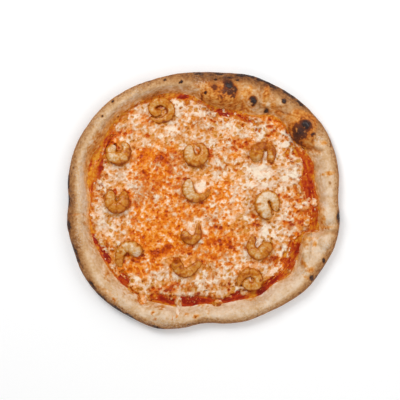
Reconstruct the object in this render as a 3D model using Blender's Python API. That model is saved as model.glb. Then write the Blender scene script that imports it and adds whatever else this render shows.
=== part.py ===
"""Shrimp pizza with a puffed crust, tomato sauce, melted cheese and twelve curled shrimps.

Origin: centre of the flat underside. +X is the longest way across, +Z is up. Lengths are
written in millimetres and turned into metres by MM. The pizza is uncut and soft food, so
every piece is a closed solid and nothing turns or slides.
"""
import math

import bpy
import numpy as np

MM = 0.001

# ---- driving dimensions, millimetres -------------------------------------------------
# Outer edge of the crust: radius every ten degrees, turning from +X towards +Y.
OUTLINE = (
    147.9, 151.0, 153.8, 154.8, 153.2, 151.2, 148.6, 146.6, 142.4,
    141.3, 142.1, 143.4, 146.2, 149.6, 151.3, 152.3, 152.4, 150.8,
    148.4, 152.0, 152.6, 154.8, 155.3, 153.2, 150.6, 149.4, 142.4,
    134.8, 137.4, 140.6, 142.0, 145.4, 149.6, 150.6, 152.6, 151.9,
)
# Foot of the crust's inner wall, where the flat bed starts: radius every ten degrees.
BED_EDGE = (
    122.5, 120.5, 124.0, 116.0, 118.0, 117.0, 103.5, 100.5, 98.0,
    105.0, 116.0, 123.0, 125.5, 128.0, 128.5, 126.5, 129.5, 126.5,
    121.5, 124.5, 126.0, 124.5, 125.5, 124.5, 122.5, 118.5, 115.5,
    111.0, 112.5, 113.5, 118.5, 117.0, 121.5, 116.5, 114.0, 124.5,
)
# Narrow bay of the bed between two lumps of the crust: angle, half angle, depth.
BED_BAY = (346.0, 4.5, 6.5)
# Height of the crust's crest: every thirty degrees.
CREST_HEIGHT = (17.0, 16.0, 16.0, 17.0, 18.0, 18.5, 17.5, 17.0, 17.0, 15.5, 16.0, 16.5)
# Puffed bubbles on the crust: (x, y, half length, half width, turn in degrees, top height).
BUBBLES = (
    (19.0, 116.5, 27.0, 14.0, -9.3, 24.0),
    (54.0, 108.5, 8.5, 8.5, 0.0, 20.0),
    (68.5, 114.5, 10.0, 4.5, 83.0, 19.5),
    (109.0, 77.5, 20.0, 15.5, 126.0, 24.5),
    (137.0, -15.0, 16.0, 12.5, 84.0, 22.0),
    (132.4, -45.6, 11.0, 10.5, 90.0, 20.0),
    (112.5, -53.0, 24.0, 8.0, 88.0, 19.0),
    (-46.0, -126.0, 26.0, 11.0, -16.0, 19.0),
)
BUBBLE_FULLNESS = 3.0
UNDERSIDE_TUCK = 9.0
WIDEST_HEIGHT = 6.4
CREST_SHARE = 0.42
BED_HEIGHT = 4.0
# Where the crust's rings lie: shares of the underside, degrees of the lower and upper
# outer curve, shares of the way from the crest to the foot, and a share of the bed.
UNDERSIDE_RING = 0.55
LOWER_TURNS = (0.0, 38.0, 66.0, 90.0)
UPPER_TURNS = (26.0, 52.0, 76.0)
WALL_SHARES = (0.0, 0.22, 0.42, 0.62, 0.82)
BED_RING = 0.6

SAUCE_BOTTOM = 4.35
SAUCE_TOP = 5.7
SAUCE_INSET = 1.6
SAUCE_UNDERCUT = 1.2
SAUCE_ROUNDING = 1.6

# Edge of the melted cheese: radius every ten degrees.
CHEESE_EDGE = (
    115.0, 107.0, 115.0, 113.0, 115.0, 114.0, 101.0, 98.0, 94.0,
    102.0, 112.0, 117.0, 122.0, 125.0, 125.0, 119.0, 117.0, 117.0,
    119.0, 122.0, 123.0, 120.0, 122.0, 121.0, 120.0, 113.0, 108.0,
    106.0, 109.0, 107.0, 112.0, 113.0, 115.0, 110.0, 111.5, 119.0,
)
CHEESE_BOTTOM = 6.05
CHEESE_TOP = 8.0
# The cheese's rounded border: inset and height of its foot, and of its shoulder.
CHEESE_FOOT_INSET = 1.0
CHEESE_SIDE_RISE = 0.7
CHEESE_SHOULDER_INSET = 1.3
CHEESE_SHOULDER_DROP = 0.35
CHEESE_SHARES = (0.94, 0.84, 0.72, 0.57, 0.40, 0.20)
# Thick lumps of cheese: (x, y, radius, rise).
CHEESE_LUMPS = (
    (17.0, -95.0, 12.5, 2.4),
    (-12.0, 97.0, 13.0, 1.6),
    (25.0, -12.0, 14.0, 1.2),
    (-62.0, 22.0, 16.0, 0.9),
    (40.0, 80.0, 16.0, 1.0),
    (-112.0, -12.0, 12.0, 1.3),
    (88.0, 40.0, 15.0, 1.0),
    (-74.0, -91.0, 10.0, 1.2),
    (-50.0, -36.0, 15.0, 0.8),
)
LUMP_SPREAD = 1.6
# The cheese is level within this radius of each shrimp's middle, and blends over this width.
LEVEL_RADIUS = 19.0
LEVEL_BLEND = 6.0

SHRIMP_SEAT = 8.5
SHRIMP_UNDER = 0.5
SHRIMP_ROUND = 0.75
INNER_LIMIT = 0.62
SEGMENTS = 6
SEGMENT_DIP = 0.94
# Rounded ends: lengths in half widths, and where their rings lie.
TAIL_CAP = 1.3
HEAD_CAP = 0.9
TAIL_RINGS = (0.12, 0.5)
HEAD_RINGS = (0.5, 0.14)
LOWEST_SHARE = 0.5
# Curled shrimps from tail to head: (x, y, half width) along the middle of each body.
SHRIMPS = (
    ((-58.4, 90.8, 1.8), (-50.2, 87.8, 3.2), (-41.6, 89.6, 4.2), (-36.0, 95.6, 4.8), (-37.4, 103.4, 5.0),
     (-44.6, 108.2, 4.6), (-52.8, 107.0, 4.6), (-56.6, 100.8, 4.4), (-52.4, 96.2, 4.4), (-46.4, 98.8, 3.8)),
    ((-90.2, 62.4, 1.8), (-85.8, 60.2, 4.4), (-84.8, 54.0, 5.6), (-87.4, 48.2, 6.6),
     (-94.2, 46.2, 6.8), (-100.6, 49.6, 6.2), (-101.4, 55.8, 5.2), (-98.0, 60.2, 3.4)),
    ((-8.2, 60.2, 2.2), (-2.4, 60.0, 3.6), (0.4, 54.4, 5.0), (-0.6, 47.8, 6.2), (-5.8, 43.8, 7.0),
     (-12.0, 44.4, 7.4), (-15.6, 50.2, 7.0), (-15.6, 56.4, 5.6), (-15.2, 61.0, 3.4)),
    ((70.6, 41.2, 2.8), (73.4, 45.8, 4.6), (74.8, 51.6, 5.0), (72.8, 57.4, 5.0),
     (66.8, 59.6, 4.8), (60.4, 57.2, 6.6), (57.4, 50.6, 7.8), (56.8, 43.4, 6.2)),
    ((-88.0, 10.6, 2.6), (-87.2, 5.0, 5.4), (-87.8, -1.6, 6.8), (-91.6, -6.8, 7.4),
     (-97.6, -7.0, 7.2), (-101.8, -2.4, 6.8), (-102.2, 4.4, 6.2), (-100.8, 10.8, 3.8)),
    ((6.6, 13.0, 1.4), (4.8, 8.4, 2.8), (0.4, 4.6, 4.2), (-6.2, 3.0, 5.6),
     (-12.8, 5.2, 7.0), (-16.6, 11.4, 7.4), (-16.6, 18.0, 6.0), (-15.6, 23.4, 3.8)),
    ((79.8, -11.8, 2.6), (78.8, -6.8, 4.6), (78.2, -0.6, 5.2), (74.8, 4.6, 5.8), (68.6, 4.8, 6.8),
     (64.0, 0.0, 7.6), (64.4, -7.0, 8.0), (68.4, -13.8, 7.0), (73.4, -19.4, 4.0)),
    ((-6.0, -23.6, 1.8), (-6.0, -28.8, 3.0), (-5.8, -34.6, 3.9), (-7.8, -40.6, 5.0),
     (-13.4, -43.2, 5.8), (-19.2, -40.0, 6.0), (-21.6, -33.2, 4.7)),
    ((-91.0, -73.6, 2.4), (-92.2, -66.4, 4.6), (-91.4, -58.4, 5.6), (-87.2, -52.2, 6.4),
     (-80.6, -50.6, 7.2), (-74.6, -54.4, 8.2), (-71.8, -61.4, 6.6)),
    ((57.4, -39.4, 2.4), (53.8, -43.8, 4.2), (52.0, -49.8, 5.0), (54.8, -56.4, 6.4),
     (61.4, -58.4, 7.4), (67.6, -53.2, 7.6), (72.4, -46.0, 6.2)),
    ((-1.4, -68.6, 2.8), (-7.2, -70.8, 4.6), (-12.4, -75.4, 5.4), (-18.0, -78.8, 6.0),
     (-24.6, -77.2, 6.4), (-28.6, -71.6, 6.8), (-29.4, -65.0, 6.0)),
    ((38.8, -93.6, 2.0), (40.2, -86.8, 3.2), (45.2, -80.6, 4.0), (53.0, -79.0, 4.4), (59.2, -83.6, 4.8),
     (59.4, -91.0, 4.6), (53.6, -94.2, 4.2), (47.6, -92.2, 3.4), (46.0, -87.6, 2.0)),
)

AROUND = 108
SHRIMP_SIDES = 10


# ---- smooth helpers ------------------------------------------------------------------
def around(knots, theta):
    """Smooth closed curve through equally spaced knots, read at the angles theta."""
    values = np.asarray(knots, dtype=float)
    count = len(values)
    place = np.mod(theta, 2.0 * math.pi) / (2.0 * math.pi) * count
    base = np.floor(place).astype(int)
    f = place - base
    p0 = values[(base - 1) % count]
    p1 = values[base % count]
    p2 = values[(base + 1) % count]
    p3 = values[(base + 2) % count]
    return 0.5 * (2.0 * p1 + (p2 - p0) * f + (2.0 * p0 - 5.0 * p1 + 4.0 * p2 - p3) * f**2
                  + (3.0 * p1 - p0 - 3.0 * p2 + p3) * f**3)


def along(knots, share):
    """Smooth open curve through equally spaced knots, read at shares from 0 to 1."""
    values = np.asarray(knots, dtype=float)
    padded = np.concatenate(([2.0 * values[0] - values[1]], values, [2.0 * values[-1] - values[-2]]))
    place = np.clip(share, 0.0, 1.0) * (len(values) - 1)
    base = np.minimum(np.floor(place).astype(int), len(values) - 2)
    f = place - base
    p0 = padded[base]
    p1 = padded[base + 1]
    p2 = padded[base + 2]
    p3 = padded[base + 3]
    return 0.5 * (2.0 * p1 + (p2 - p0) * f + (2.0 * p0 - 5.0 * p1 + 4.0 * p2 - p3) * f**2
                  + (3.0 * p1 - p0 - 3.0 * p2 + p3) * f**3)


def patch_distance(x, y, place, size, turn):
    """Distance of (x, y) from the middle of a turned oval, 1 at its border."""
    c = math.cos(math.radians(turn))
    s = math.sin(math.radians(turn))
    dx = x - place[0]
    dy = y - place[1]
    u = (dx * c + dy * s) / size[0]
    v = (dy * c - dx * s) / size[1]
    return np.hypot(u, v)


def bubble_top(x, y):
    """Height of the highest bubble at (x, y), zero where there is none."""
    top = np.zeros_like(x)
    for bx, by, long_half, wide_half, turn, height in BUBBLES:
        d = patch_distance(x, y, (bx, by), (long_half, wide_half), turn)
        top = np.maximum(top, height * np.sqrt(np.clip(1.0 - d**BUBBLE_FULLNESS, 0.0, 1.0)))
    return top


def bed_foot(theta):
    """Radius of the foot of the crust's inner wall at the angles theta."""
    middle, half, depth = BED_BAY
    share = np.clip((np.degrees(theta) - middle) / half, -1.0, 1.0)
    return around(BED_EDGE, theta) + depth * np.cos(0.5 * math.pi * share) ** 2


# ---- mesh helpers --------------------------------------------------------------------
def clear_scene():
    """Remove every object that is already there."""
    for item in list(bpy.data.objects):
        bpy.data.objects.remove(item, do_unlink=True)


def add_part(name, points, faces, colour, roughness):
    """Make one named closed solid with its own material. Points are in millimetres."""
    mesh = bpy.data.meshes.new(name)
    mesh.from_pydata([tuple(p) for p in np.asarray(points) * MM], [], faces)
    mesh.validate()
    mesh.update()
    item = bpy.data.objects.new(name, mesh)
    bpy.context.collection.objects.link(item)
    material = bpy.data.materials.new(name + "_look")
    material.use_nodes = True
    shader = material.node_tree.nodes["Principled BSDF"]
    shader.inputs["Base Color"].default_value = (*colour, 1.0)
    shader.inputs["Roughness"].default_value = roughness
    mesh.materials.append(material)
    for polygon in mesh.polygons:
        polygon.use_smooth = True
    return item


def close_rings(rings, first_pole, last_pole):
    """Join equal rings of points into one closed skin with a pole at each end."""
    count = len(rings[0])
    points = [first_pole]
    for ring in rings:
        points.extend(ring)
    points.append(last_pole)
    faces = []
    last = len(points) - 1
    for j in range(count):
        k = (j + 1) % count
        faces.append((0, 1 + k, 1 + j))
        for i in range(len(rings) - 1):
            a = 1 + i * count
            b = a + count
            faces.append((a + j, a + k, b + k))
            faces.append((a + j, b + k, b + j))
        a = 1 + (len(rings) - 1) * count
        faces.append((a + j, a + k, last))
    return points, faces


def ring_at(theta, radius, height):
    """Points of one ring about the pizza's centre."""
    x = radius * np.cos(theta)
    y = radius * np.sin(theta)
    z = height * np.ones_like(theta)
    return list(zip(x, y, z))


# ---- the pieces ----------------------------------------------------------------------
def build_crust():
    """Thin flat bed with a puffed, uneven rim, bubbled in places."""
    theta = np.linspace(0.0, 2.0 * math.pi, AROUND, endpoint=False)
    edge = around(OUTLINE, theta)
    foot = bed_foot(theta)
    crest = around(CREST_HEIGHT, theta)
    wide = edge - foot
    rings = [ring_at(theta, UNDERSIDE_RING * (edge - UNDERSIDE_TUCK), 0.0)]
    for turn in LOWER_TURNS:
        c = math.cos(math.radians(turn))
        s = math.sin(math.radians(turn))
        rings.append(ring_at(theta, edge - UNDERSIDE_TUCK * (1.0 - s), WIDEST_HEIGHT * (1.0 - c)))
    for turn in UPPER_TURNS:
        c = math.cos(math.radians(turn))
        s = math.sin(math.radians(turn))
        radius = edge - wide * CREST_SHARE * (1.0 - c)
        height = WIDEST_HEIGHT + (crest - WIDEST_HEIGHT) * s
        bubbles = bubble_top(radius * np.cos(theta), radius * np.sin(theta))
        rings.append(ring_at(theta, radius, np.maximum(height, bubbles)))
    for share in WALL_SHARES:
        radius = edge - wide * (CREST_SHARE + (1.0 - CREST_SHARE) * share)
        height = BED_HEIGHT + (crest - BED_HEIGHT) * (0.5 + 0.5 * math.cos(math.pi * share))
        bubbles = bubble_top(radius * np.cos(theta), radius * np.sin(theta))
        rings.append(ring_at(theta, radius, np.maximum(height, bubbles)))
    rings.append(ring_at(theta, foot, BED_HEIGHT))
    rings.append(ring_at(theta, BED_RING * foot, BED_HEIGHT))
    points, faces = close_rings(rings, (0.0, 0.0, 0.0), (0.0, 0.0, BED_HEIGHT))
    return add_part("crust", points, faces, (0.62, 0.38, 0.20), 0.75)


def build_sauce():
    """Thin layer of tomato sauce on the bed, reaching nearly to the inner wall."""
    theta = np.linspace(0.0, 2.0 * math.pi, AROUND, endpoint=False)
    edge = bed_foot(theta) - SAUCE_INSET
    middle = 0.5 * (SAUCE_BOTTOM + SAUCE_TOP)
    rings = [
        ring_at(theta, edge - SAUCE_UNDERCUT, SAUCE_BOTTOM),
        ring_at(theta, edge, middle),
        ring_at(theta, edge - SAUCE_ROUNDING, SAUCE_TOP),
    ]
    points, faces = close_rings(rings, (0.0, 0.0, SAUCE_BOTTOM), (0.0, 0.0, SAUCE_TOP))
    return add_part("tomato_sauce", points, faces, (0.42, 0.05, 0.015), 0.4)


def cheese_height(x, y):
    """Top of the cheese, lumpy but level beneath the shrimps."""
    rise = np.zeros_like(x)
    for lx, ly, radius, height in CHEESE_LUMPS:
        d = np.clip(1.0 - (np.hypot(x - lx, y - ly) / radius) ** 2 / LUMP_SPREAD, 0.0, 1.0)
        rise = np.maximum(rise, height * d * d * (3.0 - 2.0 * d))
    keep = np.ones_like(x)
    for body in SHRIMPS:
        middle = np.mean(np.array(body), axis=0)
        gap = np.hypot(x - middle[0], y - middle[1])
        keep = np.minimum(keep, np.clip((gap - LEVEL_RADIUS) / LEVEL_BLEND, 0.0, 1.0))
    return CHEESE_TOP + rise * keep


def build_cheese():
    """Melted cheese with a wandering edge, rounded over at its border."""
    theta = np.linspace(0.0, 2.0 * math.pi, AROUND, endpoint=False)
    edge = around(CHEESE_EDGE, theta)
    rings = [
        ring_at(theta, edge - CHEESE_FOOT_INSET, CHEESE_BOTTOM),
        ring_at(theta, edge, CHEESE_BOTTOM + CHEESE_SIDE_RISE),
        ring_at(theta, edge - CHEESE_SHOULDER_INSET, CHEESE_TOP - CHEESE_SHOULDER_DROP),
    ]
    for share in CHEESE_SHARES:
        radius = edge * share
        rings.append(ring_at(theta, radius, cheese_height(radius * np.cos(theta), radius * np.sin(theta))))
    points, faces = close_rings(rings, (0.0, 0.0, CHEESE_BOTTOM), (0.0, 0.0, CHEESE_TOP))
    return add_part("melted_cheese", points, faces, (0.80, 0.45, 0.22), 0.45)


def build_shrimp(index, body):
    """One curled, peeled shrimp: a tapered segmented body lying flat on the cheese."""
    fine = np.linspace(0.0, 1.0, 401)
    knots = np.array(body)
    px = along(knots[:, 0], fine)
    py = along(knots[:, 1], fine)
    half = along(knots[:, 2], fine)
    length = np.concatenate(([0.0], np.cumsum(np.hypot(np.diff(px), np.diff(py)))))
    total = length[-1]
    tx = np.gradient(px, length)
    ty = np.gradient(py, length)
    bend = tx * np.gradient(ty, length) - ty * np.gradient(tx, length)
    tail_cap = TAIL_CAP * half[0]
    head_cap = HEAD_CAP * half[-1]
    lowest = LOWEST_SHARE * half.max()
    stations = [share * tail_cap for share in TAIL_RINGS]
    stations.extend(np.linspace(tail_cap, total - head_cap, 2 * SEGMENTS + 1))
    stations.extend([total - share * head_cap for share in HEAD_RINGS])
    rings = []
    for order, place in enumerate(stations):
        w = float(np.interp(place, length, half))
        if place < tail_cap:
            w = w * math.sqrt(1.0 - (1.0 - place / tail_cap) ** 2)
        if place > total - head_cap:
            w = w * math.sqrt(1.0 - (1.0 - (total - place) / head_cap) ** 2)
        if 2 < order < 2 * SEGMENTS + 2 and order % 2 == 0:
            w = w * SEGMENT_DIP
        cx = float(np.interp(place, length, px))
        cy = float(np.interp(place, length, py))
        ux = float(np.interp(place, length, tx))
        uy = float(np.interp(place, length, ty))
        k = float(np.interp(place, length, bend))
        middle = SHRIMP_SEAT + SHRIMP_UNDER * max(w, lowest)
        ring = []
        for side in range(SHRIMP_SIDES):
            a = 2.0 * math.pi * side / SHRIMP_SIDES
            across = w * math.cos(a)
            if across * k > 0.0:
                across = math.copysign(min(abs(across), INNER_LIMIT / abs(k)), across)
            lift = math.sin(a)
            up = w * (SHRIMP_ROUND * lift if lift > 0.0 else SHRIMP_UNDER * lift)
            ring.append((cx - uy * across, cy + ux * across, middle + up))
        rings.append(ring)
    end_height = SHRIMP_SEAT + SHRIMP_UNDER * lowest
    tail = (px[0], py[0], end_height)
    head = (px[-1], py[-1], end_height)
    points, faces = close_rings(rings, tail, head)
    return add_part("shrimp_%02d" % index, points, faces, (0.60, 0.30, 0.12), 0.4)


def main():
    """Build the crust, the two layers and the twelve shrimps."""
    clear_scene()
    build_crust()
    build_sauce()
    build_cheese()
    for index, body in enumerate(SHRIMPS, start=1):
        build_shrimp(index, body)


main()
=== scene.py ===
"""Shrimp pizza dressed around its solid model.

A puffed and blistered crust, a thin tomato sauce, a melted cheese layer with oily pits, and
curled shrimps. Lengths inside the classes are millimetres; meshes are made in metres.
"""

import logging
import math
from collections.abc import Sequence
from dataclasses import dataclass, field
from enum import Enum

import bpy
import numpy as np
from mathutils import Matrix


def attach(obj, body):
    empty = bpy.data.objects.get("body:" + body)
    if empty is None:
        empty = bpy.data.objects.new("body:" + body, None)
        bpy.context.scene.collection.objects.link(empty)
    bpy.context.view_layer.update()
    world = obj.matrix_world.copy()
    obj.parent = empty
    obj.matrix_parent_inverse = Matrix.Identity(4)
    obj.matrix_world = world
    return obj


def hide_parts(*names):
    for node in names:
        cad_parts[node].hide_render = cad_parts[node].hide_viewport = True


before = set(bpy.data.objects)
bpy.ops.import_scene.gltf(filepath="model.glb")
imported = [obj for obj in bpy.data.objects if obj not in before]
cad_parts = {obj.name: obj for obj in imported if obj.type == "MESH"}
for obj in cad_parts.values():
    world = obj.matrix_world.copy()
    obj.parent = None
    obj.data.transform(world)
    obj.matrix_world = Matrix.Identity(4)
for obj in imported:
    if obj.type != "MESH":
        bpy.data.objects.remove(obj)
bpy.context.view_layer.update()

Array = np.ndarray
Material = bpy.types.Material
Node = bpy.types.Node
Piece = bpy.types.Object
Socket = bpy.types.NodeSocket
Tree = bpy.types.NodeTree
Colour = tuple[float, float, float]
SpotSet = tuple[int, float, float, float, float]
LOG = logging.getLogger("pizza")
MM = 0.001
FULL_TURN = 2.0 * math.pi


# ---------------------------------------------------------------------------------------
# Curves and smooth steps
# ---------------------------------------------------------------------------------------
def smooth(low: float, high: float, value: Array) -> Array:
    """Smooth step from 0 at low to 1 at high.

    Args:
        low: value where the step starts.
        high: value where the step ends; it may be below low.
        value: the values to read.

    Returns:
        Shares from 0 to 1.
    """
    t = np.clip((value - low) / (high - low), 0.0, 1.0)
    return t * t * (3.0 - 2.0 * t)


def spline(p0: Array, p1: Array, p2: Array, p3: Array, f: Array) -> Array:
    """Smooth curve between p1 and p2, with p0 and p3 as neighbours.

    Args:
        p0: knot before the span.
        p1: knot at the span's start.
        p2: knot at the span's end.
        p3: knot after the span.
        f: share along the span.

    Returns:
        The curve's values.
    """
    square = (2.0 * p0 - 5.0 * p1 + 4.0 * p2 - p3) * f**2
    cube = (3.0 * p1 - p0 - 3.0 * p2 + p3) * f**3
    return 0.5 * (2.0 * p1 + (p2 - p0) * f + square + cube)


def around(knots: Sequence[float], theta: Array) -> Array:
    """Closed smooth curve through equally spaced knots.

    Args:
        knots: values at equal steps of one full turn, from +X towards +Y.
        theta: angles in radians.

    Returns:
        The curve's values at the angles.
    """
    values = np.asarray(knots, dtype=float)
    count = len(values)
    place = np.mod(theta, FULL_TURN) / FULL_TURN * count
    base = np.floor(place).astype(int)
    near = [values[(base + shift) % count] for shift in (-1, 0, 1, 2)]
    return spline(*near, place - base)


def along(knots: Sequence[float], share: Array) -> Array:
    """Open smooth curve through equally spaced knots.

    Args:
        knots: values at equal steps from start to end.
        share: shares from 0 to 1.

    Returns:
        The curve's values at the shares.
    """
    values = np.asarray(knots, dtype=float)
    first = 2.0 * values[0] - values[1]
    last = 2.0 * values[-1] - values[-2]
    padded = np.concatenate(([first], values, [last]))
    place = np.clip(share, 0.0, 1.0) * (len(values) - 1)
    base = np.minimum(np.floor(place).astype(int), len(values) - 2)
    near = [padded[base + shift] for shift in (0, 1, 2, 3)]
    return spline(*near, place - base)


def solid_edge(node: str, count: int = 36, near: float = 0.026) -> Array:
    """Radius of a plain solid's outer edge at equal steps of one full turn.

    Args:
        node: name of the plain solid.
        count: number of steps, from +X towards +Y.
        near: how far in radians a corner may lie from a step's angle.

    Returns:
        Radii in millimetres.
    """
    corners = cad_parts[node].data.vertices
    places = np.array([corner.co for corner in corners]) / MM
    theta = np.arctan2(places[:, 1], places[:, 0])
    radius = np.hypot(places[:, 0], places[:, 1])
    steps = np.arange(count) * FULL_TURN / count
    apart = np.abs(np.angle(np.exp(1j * (theta[:, None] - steps))))
    return np.where(apart < near, radius[:, None], 0.0).max(axis=0)


# ---------------------------------------------------------------------------------------
# Seeded noise
# ---------------------------------------------------------------------------------------
class Grain:
    """Seeded smooth noise in space, with its wavelengths in millimetres."""

    TABLE = 256
    GAIN = 1.7
    LAYER_STEP = 31.7
    PLAN_LEVEL = 0.37

    def __init__(self, seed: int) -> None:
        """Draw the table of directions.

        Args:
            seed: the seed of the draw.
        """
        rng = np.random.default_rng(seed)
        self.order = rng.permutation(self.TABLE)
        slopes = rng.normal(size=(self.TABLE, 3))
        self.slopes = slopes / np.linalg.norm(slopes, axis=1, keepdims=True)

    def wave(self, points: Array, size: float) -> Array:
        """One layer of noise.

        Args:
            points: places, N by 3.
            size: wavelength.

        Returns:
            Values, mostly between -1 and 1.
        """
        place = points / size
        base = np.floor(place).astype(int)
        f = place - base
        blend = f * f * f * (f * (f * 6.0 - 15.0) + 10.0)
        total = np.zeros(len(points))
        top = self.TABLE - 1
        for corner in range(8):
            step = np.array([corner & 1, corner >> 1 & 1, corner >> 2 & 1])
            cell = base + step
            pick = self.order[cell[:, 0] & top]
            pick = self.order[(pick + cell[:, 1]) & top]
            pick = self.order[(pick + cell[:, 2]) & top]
            lean = np.einsum("ij,ij->i", self.slopes[pick], f - step)
            total += lean * np.prod(np.where(step == 1, blend, 1.0 - blend), axis=1)
        return total * self.GAIN

    def layers(self, points: Array, size: float, count: int = 3, fade: float = 0.5) -> Array:
        """Several layers of noise, each half as long as the one before.

        Args:
            points: places, N by 3.
            size: longest wavelength.
            count: number of layers.
            fade: strength of each layer against the one before.

        Returns:
            Values, mostly between -1 and 1.
        """
        total = np.zeros(len(points))
        share = 1.0
        whole = 0.0
        for layer in range(count):
            total += share * self.wave(points + self.LAYER_STEP * layer, size / 2.0**layer)
            whole += share
            share *= fade
        return total / whole

    def flat(self, x: Array, y: Array, size: float, count: int = 3, fade: float = 0.5) -> Array:
        """Layered noise over the plan.

        Args:
            x: places along X.
            y: places along Y.
            size: longest wavelength.
            count: number of layers.
            fade: strength of each layer against the one before.

        Returns:
            Values, mostly between -1 and 1.
        """
        points = np.stack([x, y, np.full_like(x, self.PLAN_LEVEL * size)], axis=1)
        return self.layers(points, size, count, fade)


class Spots:
    """Seeded round spots, at most one to each cell of a jittered grid."""

    WRAP = 64
    FAR = 9.0
    SMALL_BIAS = 1.6

    def __init__(self, seed: int, pitch: float, small: float, large: float, share: float) -> None:
        """Draw the spots.

        Args:
            seed: the seed of the draw.
            pitch: size of a cell.
            small: smallest radius.
            large: largest radius.
            share: share of the cells that hold a spot.
        """
        rng = np.random.default_rng(seed)
        shape = (self.WRAP, self.WRAP)
        self.pitch = pitch
        self.dx = rng.random(shape)
        self.dy = rng.random(shape)
        self.value = rng.random(shape)
        radius = small + (large - small) * rng.random(shape) ** self.SMALL_BIAS
        self.radius = np.where(rng.random(shape) < share, radius, -self.FAR * pitch)

    def gap(self, x: Array, y: Array) -> tuple[Array, Array]:
        """Distance to the nearest spot's edge, negative inside it.

        Args:
            x: places along X.
            y: places along Y.

        Returns:
            The distances, and that spot's own random value.
        """
        column = np.floor(x / self.pitch).astype(int)
        row = np.floor(y / self.pitch).astype(int)
        nearest = np.full_like(x, self.FAR * self.pitch)
        value = np.zeros_like(x)
        for i in (-1, 0, 1):
            for j in (-1, 0, 1):
                a = (column + i) % self.WRAP
                b = (row + j) % self.WRAP
                sx = (column + i + self.dx[a, b]) * self.pitch
                sy = (row + j + self.dy[a, b]) * self.pitch
                gap = np.hypot(x - sx, y - sy) - self.radius[a, b]
                closer = gap < nearest
                nearest = np.where(closer, gap, nearest)
                value = np.where(closer, self.value[a, b], value)
        return nearest, value


def drawn_out(x: Array, y: Array, radius: float) -> Array:
    """Places to read noise at, so that it comes out drawn along the rim.

    Args:
        x: places along X.
        y: places along Y.
        radius: radius that a full turn is wound on; a small one draws the noise out more.

    Returns:
        The places, N by 3.
    """
    theta = np.arctan2(y, x)
    return np.stack([radius * np.cos(theta), radius * np.sin(theta), np.hypot(x, y)], axis=1)


# ---------------------------------------------------------------------------------------
# Listed features
# ---------------------------------------------------------------------------------------
@dataclass(frozen=True)
class Patch:
    """An oval patch in plan: place, half sizes, turn in degrees, and weight."""

    x: float
    y: float
    long: float
    wide: float
    turn: float
    weight: float

    def reach(self, x: Array, y: Array) -> Array:
        """Distance from the centre as a share of the oval's own radius.

        Args:
            x: places along X.
            y: places along Y.

        Returns:
            Shares: 0 at the centre and 1 on the oval.
        """
        c = math.cos(math.radians(self.turn))
        s = math.sin(math.radians(self.turn))
        dx = x - self.x
        dy = y - self.y
        return np.hypot((dx * c + dy * s) / self.long, (dy * c - dx * s) / self.wide)

    def cover(self, x: Array, y: Array, soft: float) -> Array:
        """Share of cover, 1 inside and fading to 0 past the oval's edge.

        Args:
            x: places along X.
            y: places along Y.
            soft: width of the fade as a share of the radius.

        Returns:
            Shares from 0 to 1.
        """
        return smooth(1.0 + soft, 1.0 - soft, self.reach(x, y))


def patches(*rows: tuple[float, ...]) -> tuple[Patch, ...]:
    """Make patches from rows of x, y, long, wide, turn and weight."""
    return tuple(Patch(*row) for row in rows)


def rim_patches(*rows: tuple[float, ...]) -> tuple[Patch, ...]:
    """Make patches from rows of angle, radius, radial half, sideways half and weight.

    Args:
        *rows: angles in degrees from +X towards +Y, lengths from the pizza's centre.

    Returns:
        The patches, each turned to face outwards.
    """
    made = []
    for angle, radius, out, side, weight in rows:
        turn = math.radians(angle)
        made.append(Patch(radius * math.cos(turn), radius * math.sin(turn), out, side, angle, weight))
    return tuple(made)


def lay(group: Sequence[Patch], x: Array, y: Array, soft: float = 0.5) -> Array:
    """Sum of the patches' weights over the plan.

    Args:
        group: the patches.
        x: places along X.
        y: places along Y.
        soft: width of each fade as a share of the radius.

    Returns:
        The summed weights.
    """
    total = np.zeros_like(x)
    for patch in group:
        total += patch.weight * patch.cover(x, y, soft)
    return total


def strongest(group: Sequence[Patch], x: Array, y: Array, soft: float = 0.3) -> Array:
    """Largest weight of the patches over the plan.

    Args:
        group: the patches.
        x: places along X.
        y: places along Y.
        soft: width of each fade as a share of the radius.

    Returns:
        The largest weights.
    """
    total = np.zeros_like(x)
    for patch in group:
        total = np.maximum(total, patch.weight * patch.cover(x, y, soft))
    return total


@dataclass(frozen=True)
class Crease:
    """A straight groove in the crust: its ends, half width and depth."""

    x0: float
    y0: float
    x1: float
    y1: float
    width: float
    depth: float

    def cut(self, x: Array, y: Array) -> Array:
        """Depth of the groove over the plan.

        Args:
            x: places along X.
            y: places along Y.

        Returns:
            Depths, 0 away from the groove.
        """
        ax = self.x1 - self.x0
        ay = self.y1 - self.y0
        t = np.clip(((x - self.x0) * ax + (y - self.y0) * ay) / (ax * ax + ay * ay), 0.0, 1.0)
        gap = np.hypot(x - self.x0 - t * ax, y - self.y0 - t * ay)
        return self.depth * np.exp(-((gap / self.width) ** 2))


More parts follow.
